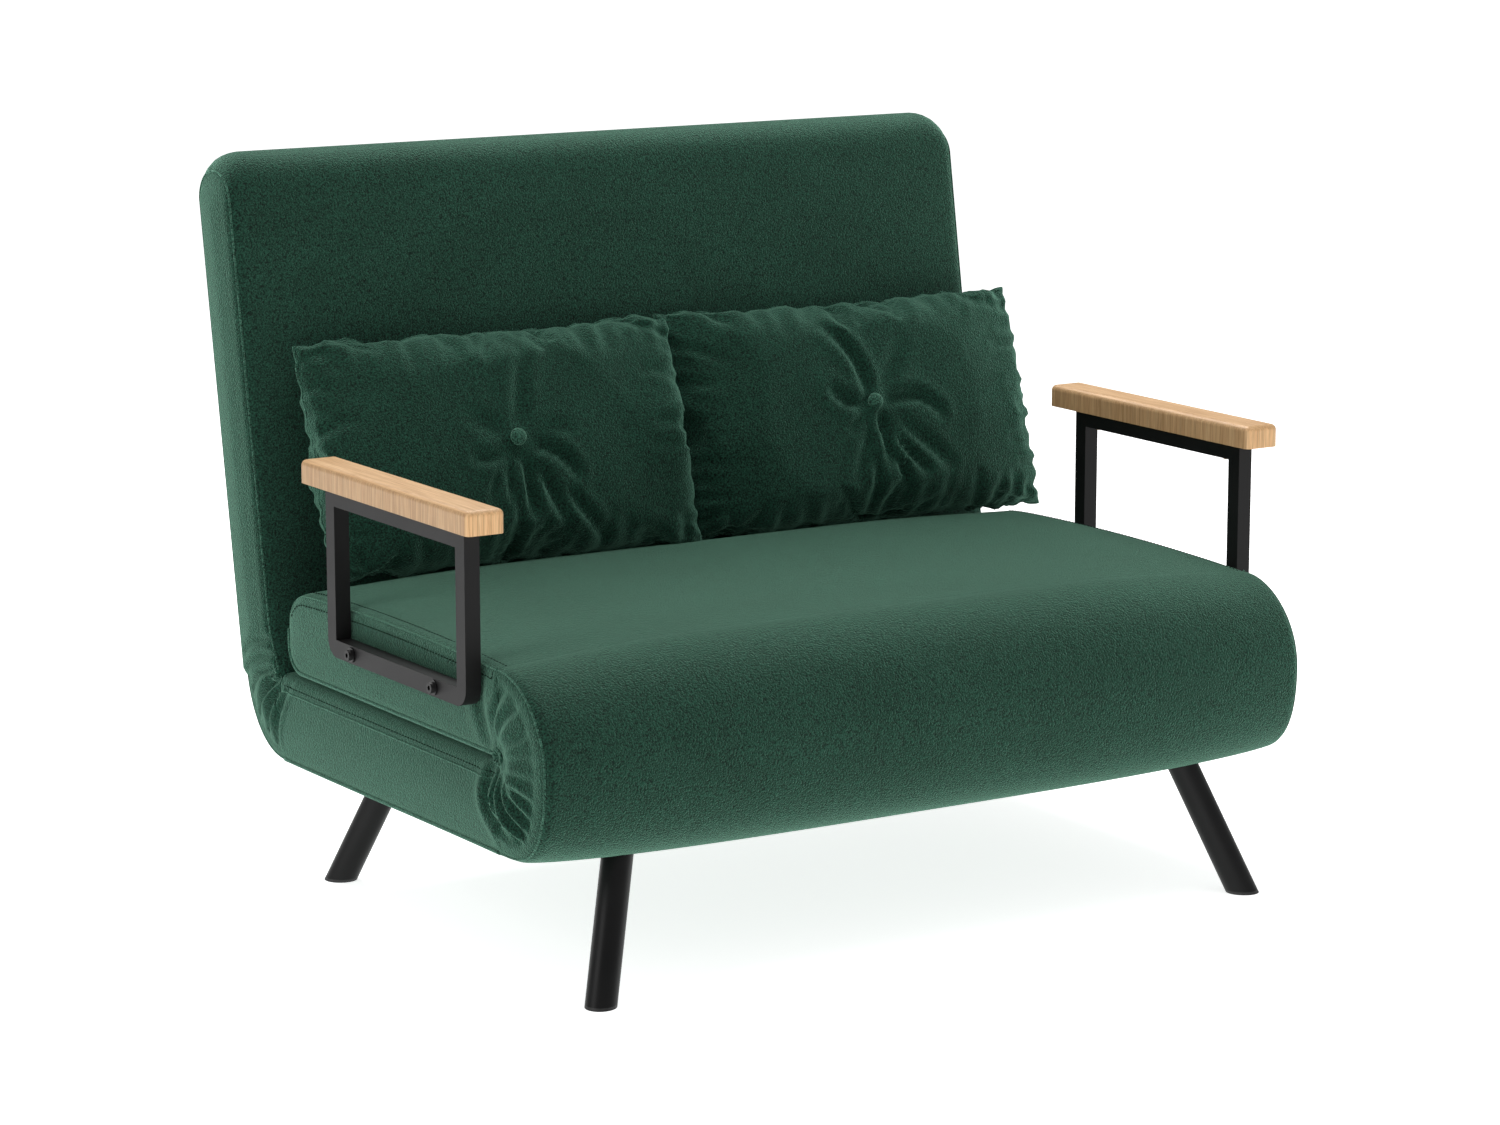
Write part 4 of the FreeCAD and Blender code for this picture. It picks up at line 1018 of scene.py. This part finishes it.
def gathers(shape, face, half_wide, half_tall, seed):
    """The cloth is drawn in at uneven places along the seam and bulges out between them."""
    draw = np.random.default_rng(seed)
    moved = shape.copy()
    flat = shape[:, :2]
    for axis, sign, reach, bulge, spacing in GATHERED_SIDES:
        edge, half = ((half_wide, half_tall), (half_tall, half_wide))[axis]
        from_rim = edge - shape[:, axis] * sign
        near = smooth((0.075 - from_rim) / 0.045) * smooth(from_rim / 0.012)
        moved[:, axis] += sign * SEAM_BULGE * bulge * near * (face != 0)
        at = -half + draw.uniform(0.018, 0.034)
        while at < half - 0.015:
            pull = draw.uniform(0.45, 1.0)
            drawn_in = np.exp(-((flat[:, 1 - axis] - at) / (spacing * 0.36)) ** 2)
            drawn_in = drawn_in * np.exp(-np.maximum(from_rim, 0) / 0.022)
            moved[:, axis] -= sign * 0.0048 * pull * drawn_in
            first, last = np.zeros(2), np.zeros(2)
            first[axis], first[1 - axis] = sign * (edge - 0.002), at
            length = reach * draw.uniform(0.5, 1.35)
            last[axis], last[1 - axis] = sign * (edge - length), at + length * draw.uniform(-0.45, 0.45)
            fold = crease(flat, (first, (first + last) / 2, last), GATHER_DEPTH * pull, spacing * 0.26)
            moved[:, 2] -= face * fold * smooth(from_rim / 0.010)
            at += spacing * draw.uniform(0.85, 1.65)
    return moved


def pillow_place(side):
    """A pillow's centre and button, its axes up and out of its face, and its half sizes."""
    lo, hi = (np.array(corner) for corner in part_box(f"pillow_{side}"))
    button_lo, button_hi = (np.array(corner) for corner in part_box(f"pillow_{side}_button"))
    centre, button = (lo + hi) / 2, (button_lo + button_hi) / 2
    normal = button - centre
    normal[0] = 0
    normal /= np.linalg.norm(normal)
    up = np.array([0, normal[2], -normal[1]])
    up = up if up[2] > 0 else -up
    corners = np.array([v.co for v in NODES[f"pillow_{side}"].data.vertices]) - centre
    half = ((hi[0] - lo[0]) / 2, float((corners @ up).max()), float(np.abs(corners @ normal).max()))
    return centre, button, up, normal, half


def stuff(piece, shape, s, t, half, simulated):
    """The stuffed cover's points, with its seam on the finished outline and its full thickness."""
    if simulated:
        shape = blow_up(piece, PILLOW_FRAMES, PILLOW_PRESSURE, 0.055)
        shape -= (shape.max(axis=0) + shape.min(axis=0)) / 2
    shape = trued(shape, s, t, *half[:2])
    shape[:, 2] *= half[2] / np.abs(shape[:, 2]).max()
    return shape


def build_pillow(side):
    """One pillow, made flat, blown up by simulation, tufted at its button, then leaned on the back."""
    centre, button, up, normal, half = pillow_place(side)
    half_wide, half_tall, half_thick = half
    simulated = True
    keys, faces = pillow_sheet(*((116, 66) if simulated else (84, 46)))
    s, t, face = keys.T
    cut = PILLOW_CUT if simulated else 0.0
    flat_x = s * half_wide * (1 + 0.5 * cut * (1 - t ** 2))
    flat_z = t * half_tall * (1 + cut * (1 - s ** 2))
    dome = ((1 - s ** 2) * (1 - t ** 2)) ** 0.42
    shape = np.stack([flat_x, flat_z, face * dome * half_thick * (0.5 if simulated else 1.0)], axis=1)
    piece = mesh_piece(f"pillow_{side}", shape, faces, PILLOW_VELVET, 100)
    shape = stuff(piece, shape, s, t, half, simulated)
    button_x, button_z = button[0] - centre[0], float((button - centre) @ up)
    pull = np.exp(-(np.hypot(shape[:, 0] - button_x, shape[:, 1] - button_z) / 0.050) ** 1.3)
    target = float(np.linalg.norm((button - centre)[1:])) - 0.007
    shape[:, 2] -= face * pull * np.maximum(face * shape[:, 2] - target, 0)
    folded = pillow_folds(side, shape, face, (button_x, button_z))
    lump_seed, gather_seed = PILLOW_SEEDS[side]
    uneven = lumps(np.c_[shape[:, :2], face * 0.3], 0.16, lump_seed)
    rim = 1 - np.maximum(np.abs(s), np.abs(t))
    shape[:, 2] += face * (uneven * 0.0030 * smooth(rim / 0.2) - folded)
    shape = gathers(shape, face, half_wide, half_tall, gather_seed)
    shape[:, 1] -= PILLOW_SINK * smooth(0.6 - 0.8 * shape[:, 1] / half_tall)
    overlap = smooth((shape[:, 0] * -SIDES[side] / half_wide - 0.55) / 0.45)
    world = centre + np.outer(shape[:, 1], up) + np.outer(shape[:, 2], normal)
    world[:, 0] = centre[0] + shape[:, 0]
    world[:, 1] += overlap * PILLOW_OVERLAP[side]
    set_points(piece, world)
    on_rim = np.where(face == 0)[0]
    order = np.argsort(np.arctan2(t[on_rim], s[on_rim]))
    # the rim seam is in the lighter seam velvet, a painted highlight
    seam = tube(f"pillow_{side}_rim_seam", world[on_rim[order]], 0.0015, SEAM_HIGHLIGHT_CLOTH, 6, closed=True)
    return piece, seam, normal, up, button


def build_button(side, normal, up, button):
    """A cloth-covered button: a low dome with a tucked rim."""
    profile = [(0.35, 0.0059), (0.62, 0.0050), (0.82, 0.0034), (0.95, 0.0012), (1.0, -0.0012),
               (0.93, -0.0034), (0.6, -0.0046)]
    rings = [ring(button + normal * height, np.array([1.0, 0, 0]), up, BUTTON_RADIUS * share, 28)
             for share, height in profile]
    tips = (button + normal * 0.0062, button - normal * 0.0048)
    # the button is in the lighter seam velvet, a painted highlight
    return spun(f"pillow_{side}_tuft_button", tips, rings, SEAM_HIGHLIGHT_CLOTH)


# ---------------------------------------------------------------- seams, piping and stitches
def outline(size_a, size_b, radii, corners, pitch=TRACE_PITCH):
    """A section's rounded outline from corner to corner, as (a, b) points and outward directions."""
    corners = np.array(corners, float)
    a, b = [], []
    for first, last in zip(corners[:-1], corners[1:]):
        count = max(2, int(np.linalg.norm(last - first) / pitch))
        for t in np.linspace(0, 1, count, endpoint=False):
            a.append(first[0] + (last[0] - first[0]) * t)
            b.append(first[1] + (last[1] - first[1]) * t)
    a.append(corners[-1][0])
    b.append(corners[-1][1])
    a, b, _, out_a, out_b = round_profile(np.array(a), np.array(b), size_a, size_b, radii)
    return np.stack([a, b], axis=1), np.stack([out_a, out_b], axis=1)


def drop_repeats(route, gap=0.0015):
    kept = [route[0]]
    for point in route[1:]:
        if np.linalg.norm(point - kept[-1]) > gap:
            kept.append(point)
    return np.array(kept)


def on_edge():
    """How far in from both faces the middle of a rounded edge lies."""
    return EDGE_ROUND * (1 - math.sqrt(0.5))


def finish_trim(piece, body=None):
    """Rides a trim piece on a body, or else bakes its placement into its mesh."""
    if body:
        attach(piece, body)
    else:
        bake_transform(piece)
    return piece


FRONT_BEND = ("base", "seat", (0, float(FRONT_AXIS[1]), float(FRONT_AXIS[2]) - 0.062),
              (0, float(FRONT_AXIS[1]), float(FRONT_AXIS[2]) + 0.050))
REAR_RUN = np.array([0, math.sin(math.radians(53)), math.cos(math.radians(53))])
SLEEVE_INNER = 0.566        # the knuckles' inner end, their radius, and the rounding of their outer end
SLEEVE_RADIUS = 0.0138
SLEEVE_ROUND = 0.005
REAR_BEND = ("base", "back", tuple(REAR_AXIS - REAR_RUN * 0.062), tuple(REAR_AXIS + REAR_RUN * 0.062))


def seat_trim(side, cloth):
    """Piping along the bottom and round the rear of the panel, and the stitched top seam."""
    sign = SIDES[side]
    depth_y, height = SEAT_HI[1] - BORDER_Y, SEAT_HI[2] - SEAT_LO[2]
    inset = on_edge()

    def placed(corners, deep, gap, lift):
        line, out = outline(depth_y, height, SEAT_RADII, corners)
        line = line - out * (deep - lift * 0.7)
        x = np.full(len(line), sign * (HALF_WIDTH - gap + lift * 0.7))
        y, z = BORDER_Y + line[:, 0], SEAT_LO[2] + line[:, 1]
        rise = smooth((line[:, 1] - 0.3 * height) / (0.7 * height))
        z = z + (seat_top(x, y) - SEAT_HI[2]) * rise
        return drop_repeats(np.stack([x, y, z], axis=1))

    bottom = placed(((-0.006, 0), (depth_y, 0), (depth_y, height * 0.5)), inset, inset, 0.0014)
    finish_trim(tube(f"seat_bottom_piping_{side}", bottom, PIPING_RADIUS, cloth), "seat")
    top = placed(((depth_y, height * 0.5), (depth_y, height), (0, height)), inset, inset, 0.0002)
    finish_trim(tube(f"seat_top_seam_{side}", top, 0.0012, cloth), "seat")
    row = placed(((depth_y, height * 0.72), (depth_y, height), (0, height)), 0.0002, 0.0165, 0.0004)
    finish_trim(stitches(f"seat_top_stitches_{side}", row, DARK_THREAD), "seat")
    lower = placed(((depth_y, height * 0.72), (depth_y, height), (0, height)), 0.0150, 0.0, 0.0)
    cushion = surface_of(bpy.data.objects["seat_cushion"])
    laid = snap(cushion, resample(lower, TRACE_PITCH), (-sign, 0, 0), 0.0004)
    finish_trim(stitches(f"seat_side_stitches_{side}", laid, DARK_THREAD), "seat")


def base_trim(side, cloth):
    """Piping along the bottom edge, and on the folded top edge a row of stitches and a hem line."""
    sign = SIDES[side]
    surface = surface_of(bpy.data.objects["base_cushion"])
    inset = on_edge()
    y = np.linspace(BORDER_Y, BASE_HI[1], 80)
    x = np.full_like(y, sign * (HALF_WIDTH - inset + 0.0008))
    z = base_bottom(x, y) + inset - 0.0008
    finish_trim(tube(f"base_bottom_piping_{side}", np.stack([x, y, z], axis=1), PIPING_RADIUS, cloth),
                "base")
    for number, below in enumerate((0.0145, 0.0225)):
        row = np.stack([x, y, np.full_like(y, BASE_HI[2] - below)], axis=1)
        laid = snap(surface, resample(row[:-1], TRACE_PITCH), (-sign, 0, 0), 0.0002)
        if number == 0:
            trim = stitches(f"base_top_stitches_{side}", laid, DARK_THREAD)
        else:
            trim = tube(f"base_hem_line_{side}", laid, 0.0011, cloth, 6)
        finish_trim(trim, "base")


def back_trim(side, cloth):
    """The seam round the back's side panel: up the front, over the top and down the rear."""
    sign = SIDES[side]
    size_u, low = BACK_TOP - BACK_FOOT, BACK_LOW - BACK_FOOT
    inset = on_edge()
    for name, corners, radius in (
            ("front", ((0, low), (0, size_u), (BACK_THICK * 0.5, size_u)), 0.0014),
            ("rear", ((BACK_THICK * 0.5, size_u), (BACK_THICK, size_u), (BACK_THICK, low)), 0.0016)):
        line, out = outline(BACK_THICK, size_u, BACK_RADII, corners)
        line = line - out * (inset - 0.0004)
        x = np.full(len(line), sign * (BACK_HALF_WIDTH - inset + 0.0004))
        v, u = line[:, 0], line[:, 1]
        v = v - back_lobe(x, u, v)
        u = BACK_FOOT + u - back_drop(x, u)
        route = REAR_AXIS + np.outer(u, UP_BACK) + np.outer(v, OUT_BACK)
        route[:, 0] = x
        finish_trim(tube(f"back_{name}_seam_{side}", drop_repeats(route), radius, cloth), "back")


def fold_trim(side, cloth):
    """The seams along the rims of the two wraps, and the covered hinge knuckles."""
    sign = SIDES[side]
    for name, rim, bend, roundness, radius in (
            ("front_wrap_seam", front_rim, FRONT_BEND, 1.0, 0.0013),
            ("rear_gusset_seam", rear_rim, REAR_BEND, 0.0, 0.0016)):
        t = np.linspace(0, 1, 90)
        inset = on_edge()
        line = rim_line(rim, t, sign * (HALF_WIDTH - inset), inset - 0.0003, roundness)
        x = np.full(len(line), sign * (HALF_WIDTH - inset + 0.0004))
        route = drop_repeats(np.stack([x, line[:, 0], line[:, 1]], axis=1))
        finish_trim(tube(f"{name}_{side}", route, radius, cloth))
    hinge_sleeve("front_hinge_sleeve", side, FRONT_AXIS, "seat")
    hinge_sleeve("rear_hinge_sleeve", side, REAR_AXIS, "back")


def hinge_sleeve(name, side, axis_at, body):
    """A cloth-covered knuckle round a hinge, with its cloth gathered in over the outer end."""
    outer = HALF_WIDTH + 0.0060
    profile = [(SLEEVE_INNER, SLEEVE_RADIUS * 0.97), (SLEEVE_INNER + 0.001, SLEEVE_RADIUS)]
    profile += [(x, SLEEVE_RADIUS) for x in np.linspace(SLEEVE_INNER + 0.004, outer - SLEEVE_ROUND, 6)]
    profile += [(outer + SLEEVE_ROUND * (math.sin(a) - 1), SLEEVE_RADIUS + SLEEVE_ROUND * (math.cos(a) - 1))
                for a in np.linspace(0.3, math.pi / 2, 5)]
    profile += [(outer - 0.0012, SLEEVE_RADIUS * 0.42), (outer - 0.0030, SLEEVE_RADIUS * 0.16)]
    across = np.array([SIDES[side], 0, 0])
    middle = np.array([0, axis_at[1], axis_at[2]])
    waves = 0.0006 * np.sin(9 * 2 * math.pi * np.arange(48) / 48)
    rings = []
    for x, reach in profile:
        gathered = waves * smooth((x - outer + 0.007) / 0.005)
        flat = ring(middle + across * x, np.array([0, 0, 1.0]), np.array([0, 1.0, 0]), reach, 48)
        rings.append(flat + np.outer(gathered, across))
    tips = (middle + across * SLEEVE_INNER, middle + across * (outer - 0.0034))
    finish_trim(spun(f"{name}_{side}", tips, rings, VELVET), body)


def dress_section(piece, body, fill, *nodes):
    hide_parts(*nodes)
    if body:
        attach(piece, body)
    return piece


def build_upholstery():
    dress_section(build_seat(), "seat", 0.9, "seat_cover", "seat_foam_upper", "seat_foam_lower")
    dress_section(build_base(), "base", 0.9, "base_cover", "base_foam_upper", "base_foam_lower")
    dress_section(build_back(), "back", 0.9, "back_cover", "back_foam_front", "back_foam_rear")
    wrap = build_wrap("front_wrap", front_rim, FRONT_WRAP_CENTRE, 120, FRONT_CREASES, 1.0)
    dress_section(wrap, None, 0.9, "front_wrap_upper", "front_wrap_lower")
    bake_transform(wrap)
    gusset = build_wrap("rear_gusset", rear_rim, REAR_WRAP_CENTRE, 84, REAR_CREASES, 0.0)
    dress_section(gusset, None, 0.7, "rear_gusset_lower", "rear_gusset_upper")
    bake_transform(gusset)
    # the trims are drawn in the lighter seam velvet, a painted highlight
    for side in SIDES:
        seat_trim(side, SEAM_HIGHLIGHT_CLOTH)
        base_trim(side, SEAM_HIGHLIGHT_CLOTH)
        back_trim(side, SEAM_HIGHLIGHT_CLOTH)
        fold_trim(side, SEAM_HIGHLIGHT_CLOTH)


def build_pillows():
    for side in SIDES:
        pillow, seam, normal, up, button = build_pillow(side)
        tuft = build_button(side, normal, up, button)
        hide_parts(f"pillow_{side}")
        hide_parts(f"pillow_{side}_button")
        for piece in (pillow, seam, tuft):
            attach(piece, f"pillow_{side}")
            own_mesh(piece)


build_upholstery()
build_pillows()


# ---------------------------------------------------------------- the CAD nodes that stay in sight
NODE_LOOKS = {     # a node takes the first entry that its name contains
    "arm_frame": BLACK_STEEL, "arm_pad": OAK, "arm_bolts": BOLT_BLACK, "arm_spacers": BOLT_BLACK,
    "arm_weld_nuts": ZINC, "leg_brackets": ZINC, "leg_bolts": ZINC, "leg_top_plugs": PLASTIC,
    "foot_glides": PLASTIC, "leg_": BLACK_LEG, "hinge": ZINC, "_frame": INNER_STEEL,
    "webbing": STRAP, "foam": FOAM, "cover": VELVET, "wrap": VELVET, "gusset": VELVET,
    "pillow": PILLOW_VELVET,
}
BEVELS = {"arm_bolts": 0.0006, "arm_spacers": 0.0005}


def dress_nodes():
    for name, node in NODES.items():
        material = [look for key, look in NODE_LOOKS.items() if key in name][0]
        node.data.materials.clear()
        node.data.materials.append(material)
        if name in BEVELS:
            weld = node.modifiers.new("weld", "WELD")
            weld.merge_threshold = 0.00002
            edge = node.modifiers.new("edge", "BEVEL")
            edge.width = BEVELS[name]
            edge.segments = 2
            edge.angle_limit = math.radians(50)


dress_nodes()


# ---------------------------------------------------------------- floor, light and camera
def build_stage():
    far = 60.0
    corners = [(-far, -far, 0), (far, -far, 0), (far, far, 0), (-far, far, 0)]
    floor_mesh = bpy.data.meshes.new("floor")
    floor_mesh.from_pydata(corners, [], [(0, 1, 2, 3)])
    g = Graph("pale_floor")
    g.colour(g.noise(0.8, 2, 0.5), (0.3, (0.93, 0.93, 0.93)), (0.7, (0.95, 0.95, 0.95)))
    g.fixed(Roughness=0.95, Specular_IOR_Level=0.0, Emission_Color=(1, 1, 1, 1), Emission_Strength=0.78)
    floor_mesh.materials.append(g.material)
    floor = bpy.data.objects.new("floor", floor_mesh)
    bpy.context.scene.collection.objects.link(floor)


# name, place, what it points at, size in metres, watts
LIGHTS = (("top_light", (0.3, 0.1, 3.6), (0, 0, 0.4), (3.2, 2.2), 60),
          ("left_light", (-3.8, -0.3, 1.9), (0, 0, 0.5), (1.8, 2.4), 25),
          ("rear_light", (0.4, 2.8, 4.2), (0, -0.3, 0.4), (2.8, 1.4), 125))
WORLD_STRENGTH = 0.40
CAMERA_PLACE = (-3.1629, -5.0409, 1.6040)
CAMERA_TILT = 78.94         # degrees from looking straight down
CAMERA_TURN = -32.14        # degrees from looking along +Y
CAMERA_LENS = 104.16        # mm


def build_light():
    world = bpy.data.worlds.new("studio")
    world.use_nodes = True
    sky = world.node_tree.nodes["Background"]
    sky.inputs["Color"].default_value = (1, 1, 1, 1)
    sky.inputs["Strength"].default_value = WORLD_STRENGTH
    bpy.context.scene.world = world
    bpy.context.scene.view_settings.view_transform = "Standard"
    for name, place, aim, size, power in LIGHTS:
        data = bpy.data.lights.new(name, "AREA")
        data.shape = "RECTANGLE"
        data.size, data.size_y = size
        data.energy = power
        lamp = bpy.data.objects.new(name, data)
        lamp.location = place
        lamp.rotation_euler = (Vector(aim) - Vector(place)).to_track_quat("-Z", "Y").to_euler()
        bpy.context.scene.collection.objects.link(lamp)


def build_camera():
    data = bpy.data.cameras.new("camera")
    data.lens = CAMERA_LENS
    data.sensor_width = 36
    data.clip_end = 200
    camera = bpy.data.objects.new("camera", data)
    camera.location = CAMERA_PLACE
    camera.rotation_euler = (math.radians(CAMERA_TILT), 0, math.radians(CAMERA_TURN))
    bpy.context.scene.collection.objects.link(camera)
    bpy.context.scene.camera = camera


build_stage()
build_light()
build_camera()
